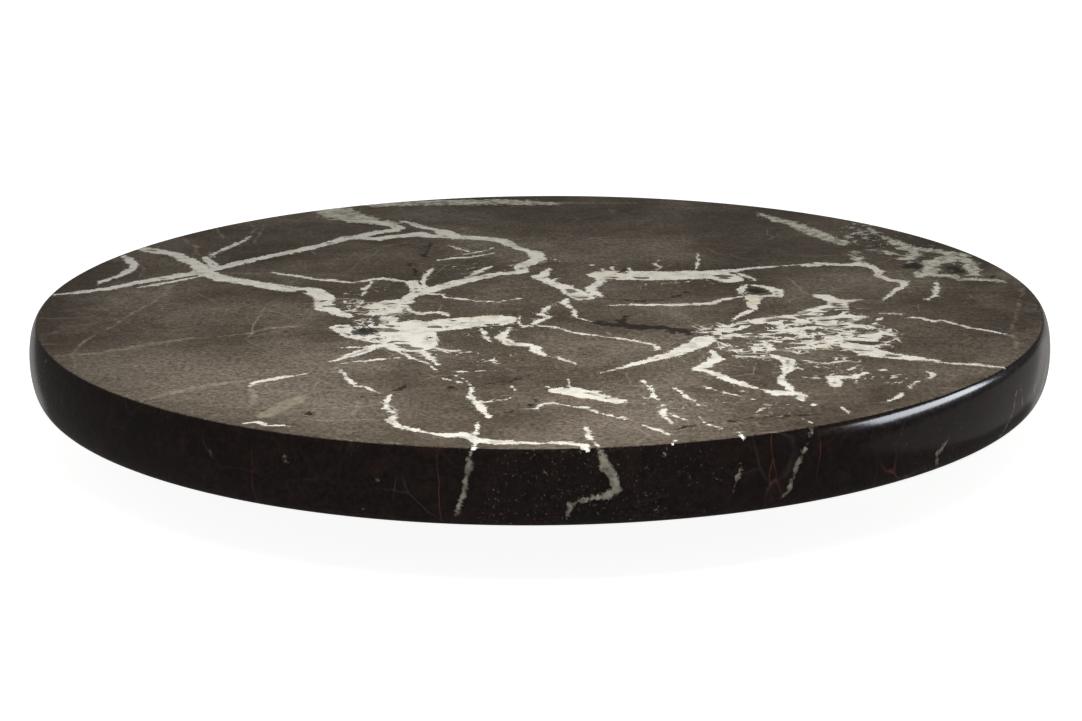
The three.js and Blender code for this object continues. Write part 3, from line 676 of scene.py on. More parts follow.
    # Slivers of dark rock and grey clouding inside the widest calcite of the honed face.
    splinter = add(tree, "VectorMath", [bent, (0.6, 1, 1)], operation="MULTIPLY")
    sliver = add(tree, "TexVoronoi", {0: splinter, 2: 1 / 2.6}, out=1)
    sliver = add(tree, "SeparateColor", [sliver])
    crowd = add(tree, "MapRange", [dense, 0, 1, 0.1, 0.38])
    sliver = add(tree, "Math", [sliver, crowd], operation="LESS_THAN")
    inside = add(tree, "MapRange", [white_gap, -0.9, -2.2, 0, 0.9])
    inside = add(tree, "Math", [inside, dense], operation="MAXIMUM")
    sliver = add(tree, "Math", [sliver, inside], operation="MULTIPLY")
    sliver = add(tree, "Math", [sliver, top], operation="MULTIPLY")
    rubble = add(tree, "Math", [rubble, sliver], operation="SUBTRACT", use_clamp=True)
    cloud = add(tree, "TexNoise", {0: bent, 2: 1 / 4.5, 3: 4, 4: 0.65})
    cloud = add(tree, "MapRange", [cloud, 0.47, 0.74, 0, 0.85])
    calcite = add(tree, "Mix", {0: cloud, 6: with_alpha(tints.calcite), 7: with_alpha(tints.grey_calcite)},
                  out=2, data_type="RGBA")

    stain = add(tree, "TexNoise", {0: bent, 2: 1 / 11, 3: 3})
    stain = add(tree, "MapRange", [stain, 0.55, 0.72, 0, 0.45])
    calcite = add(tree, "Mix", {0: stain, 6: calcite, 7: with_alpha(tints.cream_calcite)}, out=2,
                  data_type="RGBA")

    # The ground: clouds of 45 mm, streaks of 4 mm, then grain of 1.3 mm. The real grain is nearer
    # 0.2 mm, and is drawn coarser so that it shows.
    clouds = add(tree, "TexNoise", {0: place, 2: 1 / 45, 3: 5, 4: 0.6})
    shade = add(tree, "MapRange", [clouds, 0.35, 0.5, 1, 0])
    # Painted shade: the top face darkened near its left and right rims, where the light falls off.
    painted_shade = add(tree, "MapRange", [shapes["painted shade patches"], 14, -22, 0, 1],
                 interpolation_type="SMOOTHSTEP")
    shade = add(tree, "Math", [shade, painted_shade], operation="MAXIMUM")
    ground = add(tree, "Mix", {0: shade, 6: with_alpha(tints.honed_stone), 7: with_alpha(tints.honed_dark_and_shade)},
                 out=2, data_type="RGBA")
    shade = add(tree, "MapRange", [clouds, 0.5, 0.68, 0, 1])
    # Paler and warmer at the front left: partly paler stone, partly painted sheen of the light's glare.
    pale_and_sheen = add(tree, "MapRange", [shapes["pale and painted sheen patches"], 14, -22, 0, 1],
                 interpolation_type="SMOOTHSTEP")
    shade = add(tree, "Math", [shade, pale_and_sheen], operation="MAXIMUM")
    ground = add(tree, "Mix", {0: shade, 6: ground, 7: with_alpha(tints.honed_pale_and_sheen)}, out=2,
                 data_type="RGBA")
    coarse = add(tree, "TexNoise", {0: place, 2: 1 / 1.3, 3: 3, 4: 0.8})
    grain = add(tree, "MapRange", [coarse, 0.34, 0.66, 0.45, 1.6])
    flow = add(tree, "VectorMath", [bent, (0.45, 1, 1)], operation="MULTIPLY")
    flow = add(tree, "TexNoise", {0: flow, 2: 1 / 4, 3: 5, 4: 0.8})
    flow = add(tree, "MapRange", [flow, 0.32, 0.68, 0.8, 1.22])
    grain = add(tree, "Math", [grain, flow], operation="MULTIPLY")
    ground = add(tree, "Mix", {0: 1.0, 6: ground, 7: grain}, out=2, data_type="RGBA",
                 blend_type="MULTIPLY")
    # Wisps: tan threads that swirl between the larger veins.
    wisp = add(tree, "TexNoise", {0: bent, 2: 1 / 12, 3: 5, 4: 0.7, 8: 0.6})
    wisp = add(tree, "Math", [wisp, 0.5], operation="SUBTRACT")
    wisp = add(tree, "Math", [wisp], operation="ABSOLUTE")
    wisp = add(tree, "MapRange", [wisp, 0.009, 0.001, 0, 0.36])
    swirl = add(tree, "MapRange", [clouds, 0.44, 0.56, 0.15, 1])
    wisp = add(tree, "Math", [wisp, swirl], operation="MULTIPLY")
    ground = add(tree, "Mix", {0: wisp, 6: ground, 7: with_alpha(tints.tan_vein)}, out=2,
                 data_type="RGBA")

    # Thin healed cracks: pale ones 26 mm apart and dark stylolites that wander.
    web = add(tree, "TexVoronoi", {0: bent, 2: 1 / 26}, feature="DISTANCE_TO_EDGE")
    web = add(tree, "MapRange", [web, 0.012, 0.002, 0, 1])
    patch = add(tree, "TexNoise", {0: place, 2: 1 / 18, 3: 2})
    patch = add(tree, "MapRange", [patch, 0.5, 0.7, 0, 0.5])
    web = add(tree, "Math", [web, patch], operation="MULTIPLY")
    ground = add(tree, "Mix", {0: web, 6: ground, 7: with_alpha(tints.tan_vein)}, out=2,
                 data_type="RGBA")
    seam = add(tree, "TexNoise", {0: bent, 2: 1 / 30, 3: 6, 4: 0.62})
    seam = add(tree, "Math", [seam, 0.5], operation="SUBTRACT")
    seam = add(tree, "Math", [seam], operation="ABSOLUTE")
    seam = add(tree, "MapRange", [seam, 0.006, 0.001, 0, 0.45])
    dark = add(tree, "Math", [dark, seam], operation="MAXIMUM")

    # The same rock polished: near black, partly its own deeper polished tone and partly painted shade
    # of the edge, which faces away from the light; mottled brown, with specks and iron-stained threads.
    polished = add(tree, "Mix", {0: 1.0, 6: with_alpha(tints.polished_stone_and_shade), 7: grain}, out=2,
                   data_type="RGBA", blend_type="MULTIPLY")
    mottle = add(tree, "TexNoise", {0: bent, 2: 1 / 6, 3: 5, 4: 0.8})
    mottle = add(tree, "MapRange", [mottle, 0.48, 0.74, 0, 0.07])
    polished = add(tree, "Mix", {0: mottle, 6: polished, 7: with_alpha(tints.iron_stain)}, out=2,
                   data_type="RGBA")
    speck = add(tree, "TexNoise", {0: place, 2: 1 / 0.9, 3: 3, 4: 0.8})
    speck = add(tree, "MapRange", [speck, 0.62, 0.74, 0, 0.24])
    few = add(tree, "MapRange", [clouds, 0.48, 0.6, 0, 1])
    speck = add(tree, "Math", [speck, few], operation="MULTIPLY")
    polished = add(tree, "Mix", {0: speck, 6: polished, 7: with_alpha(tints.grey_calcite)}, out=2,
                   data_type="RGBA")
    tall = add(tree, "VectorMath", [bent, (1, 1, 0.2)], operation="MULTIPLY")
    thread = add(tree, "TexVoronoi", {0: tall, 2: 1 / 17}, feature="DISTANCE_TO_EDGE")
    thread = add(tree, "MapRange", [thread, 0.011, 0.001, 0, 1])
    thread = add(tree, "Math", [thread, patch], operation="MULTIPLY")
    thread = add(tree, "Math", [thread, 0.7], operation="MULTIPLY")
    polished = add(tree, "Mix", {0: thread, 6: polished, 7: with_alpha(tints.iron_stain)}, out=2,
                   data_type="RGBA")
    hair = add(tree, "Math", [web, 0.05], operation="MULTIPLY")
    polished = add(tree, "Mix", {0: hair, 6: polished, 7: with_alpha(tints.grey_calcite)}, out=2,
                   data_type="RGBA")

    # The honed colour on the top face; on the edge and underside the near-black polished colour, which
    # carries painted shade.
    ground = add(tree, "Mix", {0: top, 6: polished, 7: ground}, out=2, data_type="RGBA")

    dark_share = add(tree, "Math", [dark, 0.92], operation="MULTIPLY")
    streak = add(tree, "TexNoise", {0: bent, 2: 1 / 3.2, 3: 5, 4: 0.75})
    broken_up = add(tree, "MapRange", [streak, 0.4, 0.62, 0.12, 0.6])
    faint_share = add(tree, "Math", [faint, broken_up], operation="MULTIPLY")
    feathery = add(tree, "MapRange", [streak, 0.38, 0.56, 0.25, 1])
    green_share = add(tree, "Math", [green, feathery], operation="MULTIPLY")
    # On the edge the veins are only a faint grey: partly smoky calcite, partly painted shade of the edge.
    smoky_and_shaded = add(tree, "MapRange", [streak, 0.4, 0.62, 0.16, 0.4])
    edge_share = add(tree, "Math", [edge_vein, smoky_and_shaded], operation="MULTIPLY")
    polished_part = add(tree, "Math", [1, top], operation="SUBTRACT")
    edge_share = add(tree, "Math", [edge_share, polished_part], operation="MULTIPLY")
    surface = ground
    for amount, tint in (
        (faint_share, with_alpha(tints.tan_vein)),
        (green_share, with_alpha(tints.green_vein)),
        (edge_share, with_alpha(tints.grey_calcite)),
        (rubble, calcite),
        (dark_share, with_alpha(tints.crack)),
    ):
        surface = add(tree, "Mix", {0: amount, 6: surface, 7: tint}, out=2, data_type="RGBA")

    rough = add(tree, "MapRange", [coarse, 0.3, 0.7, 0.34, 0.46])
    gloss = add(tree, "MapRange", [coarse, 0.3, 0.7, 0.12, 0.2])
    rough = add(tree, "Mix", [top, None, gloss, rough])
    under = add(tree, "MapRange", [height, SLAB_BOTTOM / MM + 0.5, SLAB_BOTTOM / MM + 0.05, 0, 1])
    rough = add(tree, "Mix", [under, None, rough, 0.7])

    bump = add(tree, "Bump", {0: 0.6, 1: 0.03 * MM, 3: coarse})
    shader = add(tree, "BsdfPrincipled", {"Base Color": surface, "Roughness": rough, "IOR": 1.5,
                                          "Normal": bump})
    finish_material(tree, shader)
    return material


def stained_wood():
    """Beech turned to a disc, stained dark and lacquered satin: fine short pores along the grain
    and slow waves of colour across it."""
    tints = bpy.context.scene.susan_colours
    material, tree = blank_material("Stained and lacquered beech")
    place = in_mm(tree)
    along = add(tree, "VectorMath", [place, (0.06, 1, 1)], operation="MULTIPLY")
    rings = add(tree, "TexNoise", {0: along, 2: 1 / 9, 3: 5, 4: 0.6, 8: 0.6})
    pores = add(tree, "TexNoise", {0: along, 2: 1 / 0.9, 3: 3, 4: 0.7})
    figure = add(tree, "MapRange", [rings, 0.35, 0.65, 0, 0.75])
    wood = add(tree, "Mix", {0: figure, 6: with_alpha(tints.stained_beech),
                             7: with_alpha(tints.stained_pore)}, out=2, data_type="RGBA")
    fleck = add(tree, "MapRange", [pores, 0.52, 0.7, 0, 0.8])
    wood = add(tree, "Mix", {0: fleck, 6: wood, 7: with_alpha(tints.stained_pore)}, out=2,
               data_type="RGBA")
    rough = add(tree, "MapRange", [pores, 0.3, 0.7, 0.38, 0.55])
    bump = add(tree, "Bump", {0: 0.6, 1: 0.05 * MM, 3: pores})
    shader = add(tree, "BsdfPrincipled", {"Base Color": wood, "Roughness": rough, "IOR": 1.5,
                                          "Normal": bump})
    finish_material(tree, shader)
    return material


def metal(name, tint, patch_size, rough_low, rough_high, stain):
    """A metal with patches of tone and fine rubbing marks, both in millimetres."""
    material, tree = blank_material(name)
    place = in_mm(tree)
    patches = add(tree, "TexNoise", {0: place, 2: 1 / patch_size, 3: 4, 4: 0.6})
    rubbed = add(tree, "VectorMath", [place, (1, 0.12, 1)], operation="MULTIPLY")
    marks = add(tree, "TexNoise", {0: rubbed, 2: 1 / 0.35, 3: 3, 4: 0.7})
    dull = tuple(channel * stain for channel in tint)
    share = add(tree, "MapRange", [patches, 0.4, 0.65, 0, 1])
    face = add(tree, "Mix", {0: share, 6: with_alpha(tint), 7: with_alpha(dull)}, out=2,
               data_type="RGBA")
    rough = add(tree, "MapRange", [marks, 0.3, 0.7, rough_low, rough_high])
    bump = add(tree, "Bump", {0: 0.3, 1: 0.01 * MM, 3: marks})
    shader = add(tree, "BsdfPrincipled", {"Base Color": face, "Metallic": 1.0, "Roughness": rough,
                                          "Normal": bump})
    finish_material(tree, shader)
    return material


def pressed_zinc_steel():
    """Mild steel sheet, pressed and zinc plated: soft grey spangle with a dull sheen."""
    tint = bpy.context.scene.susan_colours.zinc
    return metal("Pressed zinc-plated steel", tint, 6, 0.3, 0.46, 0.72)


def zinc_screw_steel():
    """Cold-headed screw steel, zinc plated in a barrel: brighter, with smaller dull patches."""
    tint = bpy.context.scene.susan_colours.zinc
    return metal("Barrel-plated screw steel", tint, 1.6, 0.22, 0.38, 0.8)


def ground_ball_steel():
    """Hardened chrome steel, ground and lapped: close to a mirror, with a film of grease."""
    tint = bpy.context.scene.susan_colours.chrome_steel
    return metal("Lapped chrome steel", tint, 2.5, 0.06, 0.16, 0.85)


def turned_brass():
    """Free-cutting brass, turned on an automatic lathe and a little tarnished."""
    tint = bpy.context.scene.susan_colours.brass
    return metal("Turned brass", tint, 3, 0.24, 0.4, 0.7)


def plastic(name, tint, shade, patch_size, rough_low, rough_high, depth):
    """A moulded plastic or rubber with slow mottling and a fine moulded texture."""
    material, tree = blank_material(name)
    place = in_mm(tree)
    mottle = add(tree, "TexNoise", {0: place, 2: 1 / patch_size, 3: 3})
    texture = add(tree, "TexNoise", {0: place, 2: 1 / 0.4, 3: 2, 4: 0.6})
    dark = tuple(channel * shade for channel in tint)
    share = add(tree, "MapRange", [mottle, 0.35, 0.65, 0, 1])
    face = add(tree, "Mix", {0: share, 6: with_alpha(tint), 7: with_alpha(dark)}, out=2,
               data_type="RGBA")
    rough = add(tree, "MapRange", [texture, 0.3, 0.7, rough_low, rough_high])
    bump = add(tree, "Bump", {0: 0.5, 1: depth, 3: texture})
    shader = add(tree, "BsdfPrincipled", {"Base Color": face, "Roughness": rough, "IOR": 1.52,
                                          "Normal": bump})
    finish_material(tree, shader)
    return material


def moulded_nylon():
    """Natural nylon, injection moulded: milky, with a faint waxy sheen."""
    tint = bpy.context.scene.susan_colours.nylon
    return plastic("Moulded nylon", tint, 0.88, 9, 0.36, 0.5, 0.01 * MM)


def moulded_rubber():
    """Black rubber, compression moulded: matt, with a dusty bloom."""
    tint = bpy.context.scene.susan_colours.rubber
    return plastic("Moulded rubber", tint, 1.6, 2.5, 0.7, 0.9, 0.04 * MM)


# ---- Shapes ----


def turned(profile, steps, closed=False, centre=(0, 0), rounds=None):
    """A solid turned about a vertical axis from (radius, height) points, with the points named in
    rounds, as place in the profile to radius, rounded off first."""
    bm = bmesh.new()
    points = [bm.verts.new((radius, 0, height)) for radius, height in profile]
    for pair in zip(points, points[1:]):
        bm.edges.new(pair)
    if closed:
        bm.edges.new((points[-1], points[0]))
    corners = {}
    for index, radius in (rounds or {}).items():
        corners.setdefault(radius, []).append(points[index])
    for radius, verts in corners.items():
        bmesh.ops.bevel(
            bm, geom=verts, offset=radius, segments=6, profile=0.5, affect="VERTICES", material=-1
        )
    return spun(bm, steps, centre)


def spun(bm, steps, centre=(0, 0)):
    """Turns a wire profile into a closed skin about a vertical axis."""
    bmesh.ops.spin(
        bm,
        geom=bm.verts[:] + bm.edges[:],
        cent=(0, 0, 0),
        axis=(0, 0, 1),
        angle=FULL_TURN,
        steps=steps,
        use_merge=True,
        use_duplicate=False,
    )
    bmesh.ops.remove_doubles(bm, verts=bm.verts, dist=1e-6)
    bmesh.ops.recalc_face_normals(bm, faces=bm.faces)
    bmesh.ops.translate(bm, verts=bm.verts, vec=(*centre, 0))
    return bm


def add_bar(bm, radius, low, high, x=0, y=0, steps=32, taper=1.0):
    """Adds a capped round bar between two heights to a bmesh. A taper narrows its lower end."""
    bmesh.ops.create_cone(
        bm,
        cap_ends=True,
        segments=steps,
        radius1=radius * taper,
        radius2=radius,
        depth=high - low,
        matrix=Matrix.Translation((x, y, (low + high) / 2)),
    )


def scratch_object(bm, name):
    """An object holding a bmesh, which is freed."""
    mesh = bpy.data.meshes.new(name)
    bm.to_mesh(mesh)
    bm.free()
    thing = bpy.data.objects.new(name, mesh)
    bpy.context.scene.collection.objects.link(thing)
    return thing


def combine(first, second, operation):
    """Cuts the second solid out of the first, or joins them, and gives the result as a bmesh."""
    body, tool = scratch_object(first, "body"), scratch_object(second, "tool")
    change = body.modifiers.new("combine", "BOOLEAN")
    change.operation, change.solver, change.object = operation, "EXACT", tool
    evaluated = body.evaluated_get(bpy.context.evaluated_depsgraph_get())
    mesh = bpy.data.meshes.new_from_object(evaluated)
    result = bmesh.new()
    result.from_mesh(mesh)
    for thing in (body, tool):
        spare = thing.data
        bpy.data.objects.remove(thing)
        bpy.data.meshes.remove(spare)
    bpy.data.meshes.remove(mesh)
    if not result.faces:
        raise RuntimeError("a boolean left nothing")
    bmesh.ops.remove_doubles(result, verts=result.verts, dist=1e-6)
    return result


def finish_piece(name, bm, material, body, node):
    """Makes a finished object of a bmesh, in the place of a CAD node."""
    for face in bm.faces:
        face.smooth = True
    for edge in bm.edges:
        edge.smooth = edge.calc_face_angle(0) < SHARP_ANGLE
    piece = scratch_object(bm, name)
    piece.data.materials.append(material)
    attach(piece, body)
    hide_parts(node)
    return piece


def material_named(name, make):
    """A material that was made before, or a new one."""
    return bpy.data.materials.get(name) or make()


def turn_over(bm, level):
    """Turns a bmesh upside down about a level."""
    flip = Matrix.Rotation(math.pi, 4, "X")
    bmesh.ops.transform(bm, matrix=flip, verts=bm.verts)
    bmesh.ops.translate(bm, verts=bm.verts, vec=(0, 0, level))


# ---- Operators ----


class SUSAN_OT_marble_top(bpy.types.Operator):
    """Adds the round stone top"""

    bl_idname = "susan.marble_top"
    bl_label = "Marble Top"

    def execute(self, context):
        sizes = context.scene.susan_sizes
        half = (SLAB_TOP - SLAB_BOTTOM) / 2
        flat = SLAB_RADIUS - sizes.edge_bulge
        # Half a circle, squashed to the shallow bulge of the edge, then joined to both flat faces.
        bm = bmesh.new()
        start = bm.verts.new((0, 0, -half))
        bmesh.ops.spin(
            bm,
            geom=[start],
            cent=(0, 0, 0),
            axis=(0, -1, 0),
            angle=math.pi,
            steps=28,
            use_merge=False,
            use_duplicate=False,
        )
        squash = Matrix.Diagonal((sizes.edge_bulge / half, 1, 1, 1))
        bmesh.ops.transform(bm, matrix=squash, verts=bm.verts)
        bmesh.ops.translate(bm, verts=bm.verts, vec=(flat, 0, (SLAB_TOP + SLAB_BOTTOM) / 2))
        for level in (SLAB_BOTTOM, SLAB_TOP):
            rim = min(bm.verts, key=lambda v: abs(v.co.z - level))
            ring = bm.verts.new((flat - 0.4 * MM, 0, level))
            middle = bm.verts.new((0, 0, level))
            bm.edges.new((rim, ring))
            bm.edges.new((ring, middle))
        spun(bm, sizes.slab_steps)
        holes = bmesh.new()
        for number in FOUR:
            low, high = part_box(f"slab_insert_{number}")
            x, y, _ = (low + high) / 2
            add_bar(holes, (high.x - low.x) / 2 + 0.3 * MM, SLAB_BOTTOM - MM, high.z + 0.3 * MM, x, y)
        bm = combine(bm, holes, "DIFFERENCE")
        stone = material_named("Honed and polished dark marble", polished_marble)
        finish_piece("stone_top", bm, stone, "turntable", "marble_top")
        return {"FINISHED"}


class SUSAN_OT_inserts(bpy.types.Operator):
    """Adds the four threaded brass inserts that are glued into the underside of the stone"""

    bl_idname = "susan.inserts"
    bl_label = "Brass Inserts"

    def execute(self, context):
        brass = material_named("Turned brass", turned_brass)
        for number in FOUR:
            node = f"slab_insert_{number}"
            low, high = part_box(node)
            x, y, _ = (low + high) / 2
            outer, bore, tall = (high.x - low.x) / 2, 2.75 * MM, high.z - low.z
            collar, waist = outer - 0.15 * MM, outer - 0.5 * MM
            profile = [(bore, 0), (outer, 0)]
            for share in (0.1, 0.2, 0.3):  # gripping rings round the lower collar
                profile += [(outer, tall * share), (collar, tall * (share + 0.03))]
            profile += [(waist, tall * 0.45), (waist, tall * 0.6), (outer, tall * 0.7)]
            profile += [(outer, tall), (bore, tall)]
            profile = [(radius, low.z + height) for radius, height in profile]
            rounds = {1: 0.2 * MM, len(profile) - 2: 0.2 * MM}
            bm = turned(profile, 40, closed=True, centre=(x, y), rounds=rounds)
            finish_piece(f"stone_insert_{number}", bm, brass, "turntable", node)
        return {"FINISHED"}


def screw_shape(node, head_up, shank, socket_share=0.42):
    """A pan-head screw with a hexagon socket, the size of a CAD node's box."""
    low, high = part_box(node)
    x, y, _ = (low + high) / 2
    head, tall = (high.x - low.x) / 2, high.z - low.z
    head_tall = 1.6 * MM if head > 3.4 * MM else 1.5 * MM
    length = tall - head_tall
    pitch = shank * 0.45
    profile = [(0, -length), (shank * 0.5, -length), (shank * 0.86, -length + shank)]
    level = -length + shank
    while level + pitch < -0.6 * MM:  # the crests and roots of the thread
        profile += [(shank, level + pitch * 0.5), (shank * 0.82, level + pitch)]
        level += pitch
    profile += [(shank, -0.3 * MM), (shank, 0), (head, 0), (head, head_tall * 0.5)]
    profile += [(head * 0.78, head_tall), (0, head_tall)]
    last = len(profile) - 1
    rounds = {last - 3: 0.15 * MM, last - 2: 0.3 * MM, last - 1: 0.4 * MM}
    bm = turned(profile, 36, rounds=rounds)
    socket = bmesh.new()
    add_bar(socket, head * socket_share, head_tall - 0.9 * MM, head_tall + MM, steps=6, taper=0.97)
    bm = combine(bm, socket, "DIFFERENCE")
    if head_up:
        bmesh.ops.translate(bm, verts=bm.verts, vec=(x, y, high.z - head_tall))
    else:
        turn_over(bm, low.z + head_tall)
        bmesh.ops.translate(bm, verts=bm.verts, vec=(x, y, 0))
    return bm


class SUSAN_OT_screws(bpy.types.Operator):
    """Adds the twelve screws of the bearing plates and the feet"""

    bl_idname = "susan.screws"
    bl_label = "Screws"

    def execute(self, context):
        steel = material_named("Barrel-plated screw steel", zinc_screw_steel)
        for kind, body, head_up, shank in (
            ("upper_plate_screw", "turntable", False, 2.5 * MM),
            ("lower_plate_screw", "base", True, 1.8 * MM),
            ("foot_screw", "base", False, 1.5 * MM),
        ):
            for number in FOUR:
                node = f"{kind}_{number}"
                bm = screw_shape(node, head_up, shank)
                name = f"{kind}_steel_{number}"
                finish_piece(name, bm, steel, body, node)
        return {"FINISHED"}


def plate_shape():
    """A pressed bearing plate lying on z = 0: a square flange with rounded corners, a ball race
    and a dished middle."""
    thick = bpy.context.scene.susan_sizes.sheet_thickness
    ball_level = BALL_LEVEL - BASE_HIGH.z
    groove, circle = 2.73 * MM, 41 * MM
    shoulder, dish, hub = 2.4 * MM, 2.9 * MM, 6 * MM
    ridge = [(15.5 * MM, dish), (18 * MM, thick), (35 * MM, thick), (36.5 * MM, shoulder)]
    mouth = math.asin((ball_level - shoulder) / groove)
    sweep = math.pi - 2 * mouth
    trough = [
        (circle + groove * math.cos(math.pi + mouth + sweep * i / 10),
         ball_level + groove * math.sin(math.pi + mouth + sweep * i / 10))
        for i in range(11)
    ]
    flange = [(45.5 * MM, shoulder), (47 * MM, thick), (49 * MM, thick)]
    top = [(hub, dish), *ridge, *trough, *flange]
    low_trough = [(circle - 1.4 * MM, ball_level - groove), (circle + 1.4 * MM, ball_level - groove)]
    under = [(hub, dish), *ridge, *low_trough, *flange]
    under = [(radius, height - thick) for radius, height in under]
    race = turned(under + top[::-1], 144, closed=True)

    half = (PLATE_HIGH.x - PLATE_LOW.x) / 2
    sheet = bmesh.new()
    bmesh.ops.create_grid(sheet, x_segments=1, y_segments=1, size=half)
    bmesh.ops.bevel(
        sheet, geom=sheet.verts[:], offset=10 * MM, segments=10, profile=0.5, affect="VERTICES",
        material=-1,
    )
    raised = bmesh.ops.extrude_face_region(sheet, geom=sheet.faces[:])["geom"]
    lifted = [item for item in raised if isinstance(item, bmesh.types.BMVert)]
    bmesh.ops.translate(sheet, verts=lifted, vec=(0, 0, thick))
    bmesh.ops.recalc_face_normals(sheet, faces=sheet.faces)
    outline = [edge for edge in sheet.edges if edge.calc_face_angle(0) > SHARP_ANGLE]
    bmesh.ops.bevel(
        sheet, geom=outline, offset=0.25 * MM, segments=3, profile=0.5, affect="EDGES", material=-1
    )
    holes = bmesh.new()
    add_bar(holes, 48 * MM, -MM, 2 * MM, steps=144)
    for number in FOUR:
        x, y, _ = centre_of(f"lower_plate_screw_{number}")
        add_bar(holes, 2.8 * MM, -MM, 2 * MM, x, y)
    sheet = combine(sheet, holes, "DIFFERENCE")
    return combine(sheet, race, "UNION")


class SUSAN_OT_bearing_plates(bpy.types.Operator):
    """Adds the two pressed-steel plates that the balls run between"""

    bl_idname = "susan.bearing_plates"
    bl_label = "Bearing Plates"

    def execute(self, context):
        steel = material_named("Pressed zinc-plated steel", pressed_zinc_steel)
        lower = plate_shape()
        bmesh.ops.translate(lower, verts=lower.verts, vec=(0, 0, PLATE_LOW.z))
        finish_piece("lower_race_plate", lower, steel, "base", "lower_bearing_plate")
        upper = plate_shape()
        turn_over(upper, UPPER_PLATE_HIGH.z)
        eighth = Matrix.Rotation(QUARTER_TURN / 2, 4, "Z")
        bmesh.ops.transform(upper, matrix=eighth, verts=upper.verts)
        finish_piece("upper_race_plate", upper, steel, "turntable", "upper_bearing_plate")
        return {"FINISHED"}


class SUSAN_OT_ball_cage(bpy.types.Operator):
    """Adds the thin nylon disc that keeps the balls apart"""

    bl_idname = "susan.ball_cage"
    bl_label = "Ball Cage"

    def execute(self, context):
        radius = CAGE_HIGH.x
        hub = 5.9 * MM
        low, high = CAGE_LOW.z, CAGE_HIGH.z
        profile = [(hub, low), (radius, low), (radius, high), (hub, high)]
        rounds = {index: 0.3 * MM for index in range(4)}
        disc = turned(profile, 128, closed=True, rounds=rounds)
        holes = bmesh.new()
        for name in BALL_NAMES:
            x, y, _ = centre_of(name)
            add_bar(holes, 2.68 * MM, low - MM, high + MM, x, y)
        for step in range(6):
            angle = FULL_TURN * (step + 0.5) / 6
            x, y = 22 * MM * math.cos(angle), 22 * MM * math.sin(angle)
            add_bar(holes, 7 * MM, low - MM, high + MM, x, y, steps=48)
        disc = combine(disc, holes, "DIFFERENCE")
        nylon = material_named("Moulded nylon", moulded_nylon)
        finish_piece("nylon_cage", disc, nylon, "cage", "ball_cage")
        return {"FINISHED"}


class SUSAN_OT_balls(bpy.types.Operator):
    """Adds the twelve bearing balls"""

    bl_idname = "susan.balls"
    bl_label = "Bearing Balls"

    def execute(self, context):
        steel = material_named("Lapped chrome steel", ground_ball_steel)
        for name in BALL_NAMES:
            low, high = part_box(name)
            bm = bmesh.new()
            bmesh.ops.create_icosphere(
                bm,
                subdivisions=4,
                radius=(high.z - low.z) / 2,
                matrix=Matrix.Translation((low + high) / 2),
            )
            finish_piece(name.replace("bearing", "steel"), bm, steel, "cage", name)
        return {"FINISHED"}


class SUSAN_OT_pivot(bpy.types.Operator):
    """Adds the hollow rivet that holds the plates together, and the brass washer under its top"""

    bl_idname = "susan.pivot"
    bl_label = "Pivot"

    def execute(self, context):
        low, high = RIVET_LOW.z, RIVET_HIGH.z
        bore, shank, rim, thick = 4.3 * MM, 5.5 * MM, RIVET_HIGH.x, 0.7 * MM
        profile = [(bore, low), (rim, low), (rim, low + thick), (shank, low + thick),
                   (shank, high - thick), (rim, high - thick), (rim, high), (bore, high)]
        rounds = {0: 0.5 * MM, 1: 0.3 * MM, 2: 0.3 * MM, 5: 0.3 * MM, 6: 0.3 * MM, 7: 0.5 * MM}
        bm = turned(profile, 96, closed=True, rounds=rounds)
        steel = material_named("Pressed zinc-plated steel", pressed_zinc_steel)
        finish_piece("hollow_rivet", bm, steel, "base", "pivot_rivet")
        low, high = WASHER_LOW.z, WASHER_HIGH.z
        hole, rim = 5.8 * MM, WASHER_HIGH.x
        profile = [(hole, low), (rim, low), (rim, high), (hole, high)]
        rounds = {index: 0.12 * MM for index in range(4)}
        bm = turned(profile, 96, closed=True, rounds=rounds)
        brass = material_named("Turned brass", turned_brass)
        finish_piece("brass_washer", bm, brass, "base", "pivot_washer")
        return {"FINISHED"}


class SUSAN_OT_base_disc(bpy.types.Operator):
    """Adds the wooden disc under the bearing"""

    bl_idname = "susan.base_disc"
    bl_label = "Base Disc"

    def execute(self, context):
        radius, low, high = BASE_HIGH.x, BASE_LOW.z, BASE_HIGH.z
        edge = context.scene.susan_sizes.base_round
        ring = radius - edge - 0.4 * MM
        profile = [(0, low), (ring, low), (radius, low), (radius, high), (ring, high), (0, high)]
        bm = turned(profile, 192, rounds={2: edge, 3: edge})
        holes = bmesh.new()
        for number in FOUR:
            low_foot, high_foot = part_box(f"rubber_foot_{number}")
            x, y, _ = (low_foot + high_foot) / 2
            wide = (high_foot.x - low_foot.x) / 2 + 0.3 * MM
            add_bar(holes, wide, low - MM, high_foot.z, x, y, steps=64)
        bm = combine(bm, holes, "DIFFERENCE")
        holes = bmesh.new()
        for number in FOUR:
            x, y, _ = centre_of(f"foot_screw_{number}")
            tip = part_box(f"foot_screw_{number}")[1].z + 0.3 * MM
            add_bar(holes, 1.8 * MM, low - MM, tip, x, y)
            x, y, _ = centre_of(f"lower_plate_screw_{number}")
            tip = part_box(f"lower_plate_screw_{number}")[0].z - 0.3 * MM
            add_bar(holes, 2.1 * MM, tip, high + MM, x, y)
        access = centre_of("upper_plate_screw_1")
        add_bar(holes, 6 * MM, low - MM, high + MM, access.x, access.y, steps=48)
        bm = combine(bm, holes, "DIFFERENCE")
        wood = material_named("Stained and lacquered beech", stained_wood)
        finish_piece("wooden_base", bm, wood, "base", "base_disc")
        return {"FINISHED"}


